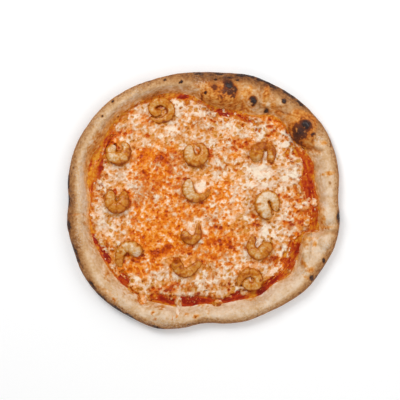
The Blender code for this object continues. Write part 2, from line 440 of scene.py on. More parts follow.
# ---------------------------------------------------------------------------------------
# Meshes
# ---------------------------------------------------------------------------------------
def make_piece(name: str, points: Array, faces: Array, fans: Array) -> Piece:
    """Make a smooth closed mesh from points in millimetres.

    Args:
        name: name of the piece.
        points: corner places, N by 3.
        faces: four-sided faces, M by 4.
        fans: three-sided faces, K by 3.

    Returns:
        The new object, linked to the scene.
    """
    mesh = bpy.data.meshes.new(name)
    corners = np.concatenate([faces.ravel(), fans.ravel()])
    sizes = np.concatenate([np.full(len(faces), 4), np.full(len(fans), 3)])
    mesh.vertices.add(len(points))
    mesh.vertices.foreach_set("co", (points * MM).astype(np.float32).ravel())
    mesh.loops.add(len(corners))
    mesh.loops.foreach_set("vertex_index", corners.astype(np.int32))
    mesh.polygons.add(len(sizes))
    mesh.polygons.foreach_set("loop_start", (np.cumsum(sizes) - sizes).astype(np.int32))
    mesh.polygons.foreach_set("loop_total", sizes.astype(np.int32))
    mesh.polygons.foreach_set("use_smooth", np.ones(len(sizes), dtype=bool))
    mesh.update(calc_edges=True)
    mesh.validate()
    piece = bpy.data.objects.new(name, mesh)
    bpy.context.collection.objects.link(piece)
    return piece


def keep_values(piece: Piece, **values: Array) -> None:
    """Store one number per mesh point under each given name.

    Args:
        piece: the object whose mesh keeps them.
        **values: arrays of one number per point.
    """
    for name, numbers in values.items():
        held = piece.data.attributes.new(name, "FLOAT", "POINT")
        held.data.foreach_set("value", np.asarray(numbers, dtype=np.float32))


def ring_faces(rings: int, sides: int) -> tuple[Array, Array]:
    """Faces of a closed skin made of equal rings with a pole at each end.

    Args:
        rings: number of rings; point 0 is the first pole and the last point is the other.
        sides: points in a ring.

    Returns:
        The four-sided faces and the three-sided ones.
    """
    j = np.arange(sides)
    k = (j + 1) % sides
    base = 1 + np.arange(rings - 1)[:, None] * sides
    faces = np.stack([base + j, base + k, base + sides + k, base + sides + j], axis=-1)
    last = 1 + (rings - 1) * sides
    first_fan = np.stack([np.zeros_like(j), 1 + k, 1 + j], axis=-1)
    last_fan = np.stack([last + j, last + k, np.full_like(j, last + sides)], axis=-1)
    return faces.reshape(-1, 4), np.concatenate([first_fan, last_fan])


def disc_grid(count: int) -> tuple[Array, Array, Array]:
    """Evenly spread grid over the unit disc.

    Args:
        count: number of points along a side.

    Returns:
        The places N by 2, the faces M by 4, and the border's points in order.
    """
    u, v = np.meshgrid(np.linspace(-1.0, 1.0, count), np.linspace(-1.0, 1.0, count))
    places = np.stack([u * np.sqrt(1.0 - v * v / 2.0), v * np.sqrt(1.0 - u * u / 2.0)], axis=-1)
    index = np.arange(count * count).reshape(count, count)
    faces = np.stack([index[:-1, :-1], index[:-1, 1:], index[1:, 1:], index[1:, :-1]], axis=-1)
    border = np.concatenate([index[0, :-1], index[:-1, -1], index[-1, :0:-1], index[:0:-1, 0]])
    return places.reshape(-1, 2), faces.reshape(-1, 4), border


def layer_piece(name: str, x: Array, y: Array, top: Array, low: float, grid: tuple) -> Piece:
    """Make a closed layer: a modelled top over a flat underside.

    Args:
        name: name of the piece.
        x: places of the top's points along X.
        y: places of the top's points along Y.
        top: heights of the top.
        low: height of the underside.
        grid: what disc_grid gave.

    Returns:
        The new object.
    """
    _, faces, border = grid
    count = len(x)
    under = np.stack([x[border], y[border], np.full(len(border), low)], axis=1)
    points = np.concatenate([np.stack([x, y, top], axis=1), under, [[0.0, 0.0, low]]])
    j = np.arange(len(border))
    k = (j + 1) % len(border)
    wall = np.stack([border[k], border[j], count + j, count + k], axis=-1)
    fan = np.stack([count + k, count + j, np.full_like(j, count + len(border))], axis=-1)
    return make_piece(name, points, np.concatenate([faces, wall]), fan)


# ---------------------------------------------------------------------------------------
# Material nodes
# ---------------------------------------------------------------------------------------
def linear(red: int, green: int, blue: int) -> Colour:
    """Turn a display colour of 0 to 255 into linear light."""
    shares = (channel / 255.0 for channel in (red, green, blue))
    return tuple(s / 12.92 if s <= 0.04045 else ((s + 0.055) / 1.055) ** 2.4 for s in shares)


class Bench:
    """Short ways to place and join nodes in one node tree."""

    def __init__(self, tree: Tree) -> None:
        """Keep the tree."""
        self.tree = tree

    def put(self, kind: str, **settings: object) -> Node:
        """Place one node.

        Args:
            kind: the node's type.
            **settings: properties of the node.

        Returns:
            The node.
        """
        node = self.tree.nodes.new(kind)
        for name, value in settings.items():
            setattr(node, name, value)
        return node

    def join(self, source: Socket, target: Socket) -> None:
        """Join two sockets."""
        self.tree.links.new(source, target)

    def feed(self, value: object, socket: Socket) -> None:
        """Set a socket to a number or join another socket to it.

        Args:
            value: the number, colour or socket.
            socket: the socket that gets it.
        """
        if isinstance(value, Socket):
            self.join(value, socket)
        else:
            socket.default_value = value

    def stored(self, name: str) -> Socket:
        """Read a number stored on the mesh."""
        return self.put("ShaderNodeAttribute", attribute_name=name).outputs["Fac"]

    def math(self, operation: str, first: object, second: object = 0.0, clamp: bool = False) -> Socket:
        """Work out one sum.

        Args:
            operation: name of the operation.
            first: first number or socket.
            second: second number or socket.
            clamp: keep the result between 0 and 1.

        Returns:
            The result.
        """
        node = self.put("ShaderNodeMath", operation=operation, use_clamp=clamp)
        self.feed(first, node.inputs[0])
        self.feed(second, node.inputs[1])
        return node.outputs[0]

    def span(self, value: Socket, low: float, high: float, start: float, end: float) -> Socket:
        """Map low..high onto start..end.

        Args:
            value: the socket to read.
            low: value that gives start.
            high: value that gives end.
            start: result at low.
            end: result at high.

        Returns:
            The mapped value.
        """
        node = self.put("ShaderNodeMapRange", clamp=True)
        for socket, number in zip(node.inputs, (value, low, high, start, end)):
            self.feed(number, socket)
        return node.outputs[0]

    def ramp(self, value: Socket, marks: Sequence[tuple[float, Colour]]) -> Socket:
        """Turn a number into a colour.

        Args:
            value: the socket to read.
            marks: places and linear colours.

        Returns:
            The colour.
        """
        node = self.put("ShaderNodeValToRGB")
        band = node.color_ramp
        while len(band.elements) < len(marks):
            band.elements.new(1.0)
        for element, (place, colour) in zip(band.elements, marks):
            element.position = place
            element.color = (*colour, 1.0)
        self.join(value, node.inputs["Fac"])
        return node.outputs["Color"]

    def mix(self, share: object, first: object, second: object, blend: str = "MIX") -> Socket:
        """Mix two colours.

        Args:
            share: share of the second colour.
            first: first colour or socket.
            second: second colour or socket.
            blend: how they are mixed.

        Returns:
            The mixed colour.
        """
        node = self.put("ShaderNodeMix", data_type="RGBA", blend_type=blend)
        self.feed(share, node.inputs[0])
        self.feed(first, node.inputs[6])
        self.feed(second, node.inputs[7])
        return node.outputs[2]


def open_group(name: str, numbers: dict[str, float], results: Sequence[str]) -> tuple[Bench, dict, dict]:
    """Start a node group with named numbers in and named numbers out.

    Args:
        name: name of the group.
        numbers: inputs and their usual values.
        results: names of the outputs.

    Returns:
        The group's bench, its input sockets and its output sockets.
    """
    tree = bpy.data.node_groups.new(name, "ShaderNodeTree")
    for label, value in numbers.items():
        socket = tree.interface.new_socket(label, in_out="INPUT", socket_type="NodeSocketFloat")
        socket.default_value = value
    for label in results:
        tree.interface.new_socket(label, in_out="OUTPUT", socket_type="NodeSocketFloat")
    bench = Bench(tree)
    source = bench.put("NodeGroupInput")
    sink = bench.put("NodeGroupOutput")
    return bench, dict(source.outputs.items()), dict(sink.inputs.items())


class Effects(Enum):
    """The shared effects that more than one material uses."""

    MOTTLE = "soft_mottle"
    SPECK = "fine_specks"
    RELIEF = "skin_relief"


class EffectShelf:
    """Builds each shared node group once and places it where it is asked for."""

    def __init__(self) -> None:
        """Build the three groups."""
        self.groups = {
            Effects.MOTTLE: self.build_mottle(),
            Effects.SPECK: self.build_speck(),
            Effects.RELIEF: self.build_relief(),
        }

    @staticmethod
    def build_mottle() -> Tree:
        """Cloudy change of tone about zero.

        Returns:
            The group.
        """
        numbers = {"Scale": 200.0, "Amount": 0.1, "Detail": 3.0}
        bench, given, result = open_group(Effects.MOTTLE.value, numbers, ["Shift"])
        place = bench.put("ShaderNodeTexCoord").outputs["Object"]
        cloud = bench.put("ShaderNodeTexNoise")
        bench.join(place, cloud.inputs["Vector"])
        bench.join(given["Scale"], cloud.inputs["Scale"])
        bench.join(given["Detail"], cloud.inputs["Detail"])
        centred = bench.math("SUBTRACT", cloud.outputs["Fac"], 0.5)
        bench.join(bench.math("MULTIPLY", centred, given["Amount"]), result["Shift"])
        return bench.tree

    @staticmethod
    def build_speck() -> Tree:
        """Small irregular specks as a mask.

        Returns:
            The group.
        """
        numbers = {"Scale": 400.0, "Size": 0.3, "Softness": 0.1, "Strength": 1.0, "Warp": 0.0012}
        bench, given, result = open_group(Effects.SPECK.value, numbers, ["Mask"])
        place = bench.put("ShaderNodeTexCoord").outputs["Object"]
        cloud = bench.put("ShaderNodeTexNoise")
        cloud.inputs["Scale"].default_value = 620.0
        bench.join(place, cloud.inputs["Vector"])
        centred = bench.put("ShaderNodeVectorMath", operation="SUBTRACT")
        bench.join(cloud.outputs["Color"], centred.inputs[0])
        centred.inputs[1].default_value = (0.5, 0.5, 0.5)
        shift = bench.put("ShaderNodeVectorMath", operation="SCALE")
        bench.join(centred.outputs[0], shift.inputs[0])
        bench.join(given["Warp"], shift.inputs["Scale"])
        moved = bench.put("ShaderNodeVectorMath", operation="ADD")
        bench.join(place, moved.inputs[0])
        bench.join(shift.outputs[0], moved.inputs[1])
        cell = bench.put("ShaderNodeTexVoronoi", feature="F1")
        bench.join(moved.outputs[0], cell.inputs["Vector"])
        bench.join(given["Scale"], cell.inputs["Scale"])
        own = bench.put("ShaderNodeSeparateColor")
        bench.join(cell.outputs["Color"], own.inputs[0])
        reach = bench.math("MULTIPLY", own.outputs[0], given["Size"])
        inside = bench.math("SUBTRACT", reach, cell.outputs["Distance"])
        mask = bench.math("DIVIDE", inside, given["Softness"], clamp=True)
        bench.join(bench.math("MULTIPLY", mask, given["Strength"]), result["Mask"])
        return bench.tree

    @staticmethod
    def build_relief() -> Tree:
        """Fine uneven height of a baked or moist skin.

        Returns:
            The group.
        """
        numbers = {"Scale": 500.0, "Pores": 0.4}
        bench, given, result = open_group(Effects.RELIEF.value, numbers, ["Height"])
        place = bench.put("ShaderNodeTexCoord").outputs["Object"]
        cloud = bench.put("ShaderNodeTexNoise")
        cloud.inputs["Detail"].default_value = 4.0
        bench.join(place, cloud.inputs["Vector"])
        bench.join(given["Scale"], cloud.inputs["Scale"])
        cell = bench.put("ShaderNodeTexVoronoi", feature="SMOOTH_F1")
        bench.join(place, cell.inputs["Vector"])
        bench.join(given["Scale"], cell.inputs["Scale"])
        pores = bench.math("MULTIPLY", cell.outputs["Distance"], given["Pores"])
        bench.join(bench.math("ADD", cloud.outputs["Fac"], pores), result["Height"])
        return bench.tree

    def place(self, bench: Bench, effect: Effects, **numbers: float) -> Socket:
        """Put an effect in a material.

        Args:
            bench: the material's bench.
            effect: which effect.
            **numbers: its inputs.

        Returns:
            The effect's output.
        """
        node = bench.put("ShaderNodeGroup", node_tree=self.groups[effect])
        for name, value in numbers.items():
            bench.feed(value, node.inputs[name])
        return node.outputs[0]


def start_material(name: str) -> tuple[Material, Bench, Node]:
    """Start a material with one Principled shader.

    Args:
        name: name of the material.

    Returns:
        The material, its bench and its shader.
    """
    material = bpy.data.materials.new(name)
    material.use_nodes = True
    shader = material.node_tree.nodes["Principled BSDF"]
    return material, Bench(material.node_tree), shader


def add_bump(bench: Bench, shader: Node, height: Socket, strength: float, depth: float) -> None:
    """Join a bump to the shader.

    Args:
        bench: the material's bench.
        shader: the Principled shader.
        height: the height to read.
        strength: strength of the bump.
        depth: its depth in metres.
    """
    bump = bench.put("ShaderNodeBump")
    bump.inputs["Strength"].default_value = strength
    bump.inputs["Distance"].default_value = depth
    bench.join(height, bump.inputs["Height"])
    bench.join(bump.outputs["Normal"], shader.inputs["Normal"])


Stops = tuple[tuple[float, Colour], ...]


def stops(*rows: tuple[float, ...]) -> Stops:
    """Make ramp stops from rows of place, red, green and blue on a 0 to 255 scale."""
    return tuple((row[0], linear(*row[1:])) for row in rows)


@dataclass(frozen=True)
class CrustFinish:
    """Floury baked dough, from pale through tan and grey-brown to black char, with painted shade in creases
    and painted highlights on some puffs.
    """

    name: str = "baked_dough"
    bake: Stops = stops(
        (0, 240, 220, 198), (0.18, 230, 200, 168), (0.34, 211, 169, 122), (0.5, 186, 133, 80),
        (0.66, 153, 98, 48), (0.82, 108, 64, 34), (1, 58, 35, 26),
    )
    amber: Stops = stops(
        (0, 230, 172, 100), (0.35, 212, 136, 54), (0.65, 188, 100, 22), (1, 112, 50, 16),
    )
    flour: Colour = linear(222, 204, 184)
    dark: Colour = linear(124, 76, 44)
    char: Colour = linear(42, 26, 24)

    def material(self, shelf: EffectShelf) -> Material:
        """Build the material.

        Args:
            shelf: the shared effects.

        Returns:
            The material.
        """
        made, bench, shader = start_material(self.name)
        speck = bench.stored("speck")
        char = bench.stored("char")
        mottle = shelf.place(bench, Effects.MOTTLE, Scale=360.0, Amount=0.66, Detail=4.0)
        uneven = bench.math("MULTIPLY", mottle, bench.span(speck, 0.0, 1.0, 0.35, 1.1))
        scorch = bench.span(char, 0.0, 0.65, 0.0, 0.55)
        # The bake tone also holds painted shade in the creases and in the valley below the right-hand
        # bubble.
        tone = bench.math("ADD", bench.math("ADD", bench.stored("bake"), uneven), scorch)
        colour = bench.ramp(tone, self.bake)
        warm = bench.math("ADD", bench.stored("warm"), bench.math("MULTIPLY", mottle, 0.9))
        amber = bench.ramp(bench.math("ADD", tone, -0.08), self.amber)
        bare = bench.span(char, 0.50, 0.90, 1.0, 0.2)
        oiled = bench.math("MULTIPLY", bench.span(warm, 0.12, 0.70, 0.0, 1.0), bare)
        colour = bench.mix(oiled, colour, amber)
        dust = shelf.place(bench, Effects.SPECK, Scale=620.0, Size=0.95, Softness=0.3, Strength=0.7)
        # Paled towards the flour colour where there is flour dust or a painted highlight.
        flour = bench.math("MULTIPLY", bench.stored("flour"), dust, clamp=True)
        colour = bench.mix(flour, colour, (*self.flour, 1.0))
        crumbs = shelf.place(bench, Effects.SPECK, Scale=420.0, Size=0.62, Softness=0.2, Strength=0.6)
        specks = bench.math("MULTIPLY", speck, crumbs, clamp=True)
        colour = bench.mix(specks, colour, (*self.dark, 1.0))
        ragged = bench.math("ADD", char, bench.math("MULTIPLY", mottle, 0.7), clamp=True)
        colour = bench.mix(bench.span(ragged, 0.68, 0.94, 0.0, 1.0), colour, (*self.char, 1.0))
        bench.join(colour, shader.inputs["Base Color"])
        bench.join(bench.span(char, 0.60, 1.0, 0.70, 0.34), shader.inputs["Roughness"])
        bench.join(bench.span(char, 0.88, 1.0, 0.0, 0.9), shader.inputs["Coat Weight"])
        shader.inputs["Coat Roughness"].default_value = 0.12
        shader.inputs["Specular IOR Level"].default_value = 0.2
        add_bump(bench, shader, shelf.place(bench, Effects.RELIEF, Scale=420.0, Pores=0.5), 0.6, 0.0010)
        return made


@dataclass(frozen=True)
class SauceFinish:
    """Moist tomato sauce, deep red where thick and orange where oily."""

    name: str = "tomato_sauce_glaze"
    tones: Stops = stops(
        (0, 138, 26, 4), (0.25, 172, 48, 6), (0.5, 188, 80, 8), (0.75, 206, 118, 14), (1, 222, 152, 44),
    )

    def material(self, shelf: EffectShelf) -> Material:
        """Build the material.

        Args:
            shelf: the shared effects.

        Returns:
            The material.
        """
        made, bench, shader = start_material(self.name)
        mottle = shelf.place(bench, Effects.MOTTLE, Scale=400.0, Amount=0.6, Detail=4.0)
        tone = bench.math("ADD", bench.stored("tone"), mottle)
        bench.join(bench.ramp(tone, self.tones), shader.inputs["Base Color"])
        shader.inputs["Roughness"].default_value = 0.34
        shader.inputs["Specular IOR Level"].default_value = 0.16
        add_bump(bench, shader, shelf.place(bench, Effects.RELIEF, Scale=520.0, Pores=0.3), 0.6, 0.0009)
        return made


@dataclass(frozen=True)
class CheeseFinish:
    """Melted cheese, from oily orange pits to milky white, yellowish or pinkish."""

    name: str = "melted_mozzarella"
    yellow: Stops = stops(
        (0, 150, 48, 2), (0.12, 182, 66, 0), (0.26, 204, 86, 0), (0.38, 218, 106, 2), (0.52, 231, 128, 6),
        (0.66, 240, 151, 52), (0.8, 248, 182, 126), (0.92, 252, 205, 169), (1, 254, 226, 198),
    )
    pink: Stops = stops(
        (0, 124, 42, 14), (0.12, 152, 66, 24), (0.26, 178, 92, 40), (0.38, 194, 116, 58),
        (0.52, 202, 140, 88), (0.66, 214, 168, 131), (0.8, 224, 191, 160), (0.92, 236, 208, 183),
        (1, 244, 226, 200),
    )
    gold: Stops = stops(
        (0, 116, 60, 10), (0.12, 148, 84, 8), (0.26, 178, 110, 16), (0.38, 198, 134, 38),
        (0.52, 212, 154, 76), (0.66, 222, 175, 129), (0.8, 232, 193, 160), (0.92, 240, 208, 176),
        (1, 250, 228, 202),
    )

    def material(self, shelf: EffectShelf) -> Material:
        """Build the material.

        Args:
            shelf: the shared effects.

        Returns:
            The material.
        """
        made, bench, shader = start_material(self.name)
        mottle = shelf.place(bench, Effects.MOTTLE, Scale=480.0, Amount=0.70, Detail=4.0)
        laid = bench.stored("tone")
        calm = bench.span(laid, 0.62, 0.95, 1.0, 0.45)
        tone = bench.math("ADD", laid, bench.math("MULTIPLY", mottle, calm))
        dots = shelf.place(bench, Effects.SPECK, Scale=200.0, Size=0.56, Softness=0.10, Strength=0.34)
        holes = bench.math("MULTIPLY", dots, bench.span(tone, 0.95, 0.55, 0.8, 0.6))
        tone = bench.math("SUBTRACT", tone, holes)
        yellow = bench.ramp(tone, self.yellow)
        pink = bench.ramp(tone, self.pink)
        rosy = bench.mix(bench.stored("hue"), yellow, pink)
        share = bench.math("MULTIPLY", bench.stored("gold"), bench.span(tone, 0.46, 0.74, 1.0, 0.2))
        golden = bench.mix(share, rosy, bench.ramp(tone, self.gold))
        bench.join(golden, shader.inputs["Base Color"])
        bench.join(bench.span(tone, 0.2, 0.9, 0.24, 0.42), shader.inputs["Roughness"])
        shader.inputs["Specular IOR Level"].default_value = 0.18
        add_bump(bench, shader, shelf.place(bench, Effects.RELIEF, Scale=560.0, Pores=0.4), 0.55, 0.0008)
        return made


@dataclass(frozen=True)
class ShrimpFinish:
    """Cooked shrimp flesh, pale on top and darker amber low down, partly browning and partly painted shade,
    and browned in spots.
    """

    name: str = "cooked_shrimp"
    tones: Stops = stops(
        (0, 236, 212, 186), (0.2, 220, 184, 142), (0.38, 208, 148, 72), (0.56, 198, 118, 24),
        (0.78, 170, 84, 8), (1, 146, 62, 4),
    )

    def material(self, shelf: EffectShelf) -> Material:
        """Build the material.

        Args:
            shelf: the shared effects.

        Returns:
            The material.
        """
        made, bench, shader = start_material(self.name)
        mottle = shelf.place(bench, Effects.MOTTLE, Scale=420.0, Amount=0.7, Detail=4.0)
        # The stored tone also holds painted shade down the sides.
        tone = bench.math("ADD", bench.stored("toast"), mottle)
        bench.join(bench.ramp(tone, self.tones), shader.inputs["Base Color"])
        shader.inputs["Roughness"].default_value = 0.27
        shader.inputs["Specular IOR Level"].default_value = 0.24
        shader.inputs["Subsurface Weight"].default_value = 0.10
        shader.inputs["Subsurface Radius"].default_value = (1.0, 0.55, 0.3)
        shader.inputs["Subsurface Scale"].default_value = 0.0015
        add_bump(bench, shader, shelf.place(bench, Effects.RELIEF, Scale=480.0, Pores=0.3), 0.35, 0.0006)
        return made


@dataclass(frozen=True)
class FloorFinish:
    """Plain pale studio floor."""

    name: str = "studio_floor"
    shade: Colour = (0.96, 0.96, 0.96)
    glow: float = 0.07

    def material(self) -> Material:
        """Build the material.

        Returns:
            The material.
        """
        made, _, shader = start_material(self.name)
        shader.inputs["Base Color"].default_value = (*self.shade, 1.0)
        shader.inputs["Emission Color"].default_value = (1.0, 1.0, 1.0, 1.0)
        shader.inputs["Emission Strength"].default_value = self.glow
        shader.inputs["Roughness"].default_value = 0.9
        shader.inputs["Specular IOR Level"].default_value = 0.1
        return made


# ---------------------------------------------------------------------------------------
# The crust
# ---------------------------------------------------------------------------------------
BUBBLES = patches(
    (19, 116.5, 27, 14, -9.3, 24), (54, 108.5, 8.5, 8.5, 0, 20), (68.5, 114.5, 10, 4.5, 83, 19.5),
    (109, 77.5, 20, 15.5, 126, 24.5), (137, -15, 16, 12.5, 84, 22), (132.4, -45.6, 11, 10.5, 90, 20),
    (112.5, -53, 24, 8, 88, 19), (-46, -126, 26, 11, -16, 19),
)
SWELLS = patches(
    (30, 122, 10, 7, -30, 1.8), (8, 122, 10, 6, 20, 1.4), (84, 108, 9, 7, -30, 1),
    (104, 68, 10, 9, 80, 1.4), (113, 84, 8, 8, 0, 1.8), (104, -66, 6, 7, 50, 0.8),
    (-134, 4, 14, 6, 90, 0.8), (-134, -34, 18, 7, 100, 0.9), (-88, -104, 20, 8, -42, 0.8),
    (60, -118, 24, 8, 22, 0.8), (12, -124, 20, 8, 4, 0.8), (-70, 122, 14, 8, 30, 0.8),
    (-88, 107, 16, 8, 40, 1.6), (-125, 70, 20, 8, 62, 0.8),
)
CREASES = (
    Crease(-145, -15, -127, -15, 1.4, 1.2), Crease(124, -33.5, 147, -35, 2.2, 3),
    Crease(101.5, -60, 108.5, -74, 1.3, 2.2), Crease(126, -57, 139, -62, 1.6, 1.4),
    Crease(-12, 128, 22, 133, 2.2, 1.8), Crease(61, 101, 63, 122, 1.4, 1.6),
    Crease(75, 101, 93, 93, 1.8, 1.6), Crease(97, 60, 128, 54, 2.6, 3.4),
    Crease(-60, 128, -76, 108, 2.2, 1.4), Crease(124, 4, 146, 3, 2.2, 1.6),
    Crease(-28, -118, -30, -132, 1.2, 0.5),
)
CHARS = patches(
    (27.8, 125.4, 6.6, 4.8, -36, 0.98), (33.5, 120.5, 4, 5, 0, 0.8), (28.5, 117.8, 9, 4.6, -10, 0.76),
    (11, 123.8, 5.6, 5, 0, 0.56), (32.4, 112.4, 2.2, 1.8, 0, 0.8), (39, 120.5, 2.4, 2.2, 0, 0.42),
    (18, 112, 3, 2, 20, 0.3), (4, 121, 2.4, 1.8, 0, 0.3), (2, 117.3, 1.9, 1.6, 0, 1),
    (-1.5, 113, 1.4, 2.6, 0, 0.55), (13, 132, 1.5, 1.2, 0, 0.8), (37, 131, 1.5, 1.1, 0, 0.75),
    (29, 134, 3.2, 1.2, 0, 0.34), (54, 108.8, 3.6, 4.8, 0, 1), (87.3, 108.3, 2.5, 2.6, 0, 1),
    (42, 137.2, 3.6, 1.4, -4, 0.9), (51.5, 137, 4.2, 2, -6, 1), (63.5, 132.5, 4, 1.6, -20, 0.95),
    (73, 127, 6, 1.8, -33, 0.7), (93, 117, 7, 1.6, -38, 0.7), (106, 106, 5, 1.6, -42, 0.6),
    (17, 138.5, 4, 1.2, 0, 0.7), (-5, 138.5, 4, 1.2, 0, 0.6), (111, 82, 7, 6.2, -10, 1),
    (105, 74.2, 10.6, 10, 0, 0.8), (101.5, 71, 5.6, 11, 4, 0.74), (105, 64, 8, 4.6, -40, 0.56),
    (107, 77, 17, 18, 30, 0.26), (0, 134, 30, 5, -2, 0.1), (26, 120, 14, 9, -20, 0.3),
    (119, 72.2, 3.2, 2.2, 30, 0.8), (107.2, 89, 2.2, 1.8, 0, 0.5), (121.5, 83, 2, 1.6, 0, 0.4),
    (69, 98.7, 2.6, 3.4, 20, 0.62), (71.3, 89.7, 1.7, 1.7, 0, 0.6), (147.3, -18, 2.2, 6, 4, 0.62),
    (131, -65.5, 1.6, 2.6, 30, 0.75), (117.5, -84.5, 2.6, 2.8, 30, 0.7), (137.5, 19.5, 1.8, 1.8, 0, 0.4),
    (134.5, -30.2, 2.6, 1.2, 0, 0.5), (-7.8, -126.2, 2.3, 1.2, 0, 0.46), (-18.3, -124, 1.6, 0.9, 0, 0.48),
    (-45, -116.4, 1.8, 1, 0, 0.4), (-55, -122.2, 1.7, 1.1, 30, 0.54), (-52.8, -128.9, 1.2, 0.9, 0, 0.52),
    (6, 108.5, 2.4, 1.8, 0, 0.26), (14, 105, 2.2, 2, 0, 0.24), (21.5, 107, 2.6, 2, 20, 0.26),
    (-1, 106, 2, 2.4, 0, 0.28), (28, 104, 3, 2, -20, 0.24), (10, 101, 3, 1.6, 0, 0.22),
    (-94, 92, 1.3, 1.2, 0, 0.85), (-24.5, 129.5, 1.7, 1.4, 0, 0.8), (-42, 132, 1.5, 1, 0, 0.6),
    (-98.5, 108, 1.6, 1.4, 0, 0.7), (-110, 92, 1.4, 1.2, 0, 0.6),
)
RIM_CHARS = rim_patches(
    (190.5, 149.6, 1.6, 5, 0.46), (201.5, 150.6, 1.6, 7, 0.46), (205.5, 151.4, 1.4, 5, 0.42),
    (217.2, 152.6, 1.5, 6, 0.5), (223.2, 153.2, 1.6, 7, 0.5), (231.4, 151.6, 1.7, 8, 0.54),
    (237.8, 150.6, 1.5, 8, 0.5), (249.5, 148, 1.4, 7, 0.54), (172, 149.6, 1.5, 6, 0.42),
    (180, 147.4, 1.5, 5, 0.55),
)
WARMS = patches(
    (19, 115, 27, 14, -9, 0.95), (18, 108, 8, 4, 0, 0.3), (30, 106, 9, 4, 0, 0.34),
    (26, 101.5, 22, 3.4, -4, 0.6), (20, 104, 26, 8, -6, 0.72), (48, 120, 24, 9, -20, 0.3),
    (80, 106, 20, 7, -40, 0.24), (50.5, 121.5, 2.4, 4, 0, 0.9), (44.5, 115.5, 2.2, 2.6, 0, 0.8),
    (54, 99, 12, 5, -15, 0.45), (68.5, 116, 9, 3.4, 83, 0.95), (66, 106, 3, 5, 0, 0.4),
    (80, 97, 10, 4, -25, 0.5), (76.5, 104, 3.4, 2.4, 0, 0.45), (98.5, 92, 9, 4, 20, 0.8),
    (111, 92, 12, 5, -28, 0.9), (119, 84, 5, 8, 0, 0.4), (98.5, 72, 3.4, 14, 0, 0.7),
    (108, 61.5, 12, 4, 0, 0.7), (106, 76, 15, 18, 30, 1.05), (130.5, 62.5, 4.6, 2.8, 10, 0.9),
    # The row at 119, 53.5 darkens the valley below the right-hand bubble: painted shade.
    (136, 29.5, 7.5, 2.4, 10, 0.85), (120.5, 44, 2, 5, 0, 0.5), (119, 53.5, 9, 4, -8, 0.45),
    (130, -12, 5, 6, 0, 0.45), (131, -23, 2.6, 4.6, 0, 0.85), (133, -30, 4, 1.8, 0, 0.6),
    (139, -28, 8, 3, 0, 0.4), (116, -41.5, 9, 1.8, 0, 0.75), (112, -48, 5, 7, 0, 0.4),
    (121.7, -47.5, 2, 3.4, -10, 1), (110, -69, 2.4, 7, 25, 0.7), (117.5, -75.5, 4.4, 3, 30, 0.75),
    (112, -84, 7, 2.4, -30, 0.45), (53, -107, 5, 2.8, 0, 0.6), (5, -121, 2, 8, 4, 0.4),
    (-7.8, -126.2, 3.4, 2.2, 0, 1), (-18.3, -124, 2.6, 1.6, 0, 0.9), (-55, -122.2, 2.6, 2, 30, 0.95),
    (-52.8, -128.9, 2.2, 1.5, 0, 0.8), (-45, -116.4, 3.4, 2.2, 0, 0.7), (-2.2, -114.2, 4, 2, 0, 0.8),
    (-62, -112, 14, 4, -18, 0.3), (-84, -99, 10, 4, -35, 0.3), (-100, -104, 9, 3, -48, 0.55),
    (-110, -97, 6, 3, -50, 0.4), (-106, -80, 9, 4, -60, 0.5), (-121, -50, 3.6, 12, 20, 0.35),
    (-128, -20, 2.4, 8, 0, 0.45), (-137, -15, 9, 1.4, 0, 0.45), (-121, 62, 14, 3.4, 62, 0.6),
    (-106, 78, 14, 4, 45, 0.35), (-92, 94, 18, 6, 50, 0.26), (-82, 104, 9, 5, 30, 0.2),
    (-64, 113, 9, 3, 25, 0.24), (-45, 122, 12, 3.4, 5, 0.22), (-25, 121, 14, 4, 0, 0.24),
)
# Pale patches: partly flour dust, partly painted highlights on the tops of puffs and lumps.
FLOURS_AND_HIGHLIGHTS = patches(
    (60, 117, 3.6, 9, 10, 0.25), (75, 113, 4, 5, 0, 0.2), (-3, 129, 8, 2.2, 4, 0.6), (126, 67, 4, 5, 0, 1),
    (133, -48, 4.5, 9, -6, 1.3), (136.5, -21, 4.5, 5, 0, 0.9), (134, -5, 7, 4, 0, 0.7),
    (111, -77, 3.6, 4, 0, 1), (104, -81, 5, 3, 0, 0.7), (120, -58, 9, 5, -40, 0.7),
    (-134, 15, 6, 34, 0, 0.5), (-134, -34, 6, 14, 0, 0.5), (-90, -108, 22, 8, -44, 0.5),
    (-40, -130, 28, 8, -10, 0.5), (20, -122, 26, 8, 3, 0.5), (66, -113, 24, 8, 24, 0.5),
    (-76, 115, 10, 5, 35, 0.5), (-112, 88, 12, 6, 50, 0.4),
)


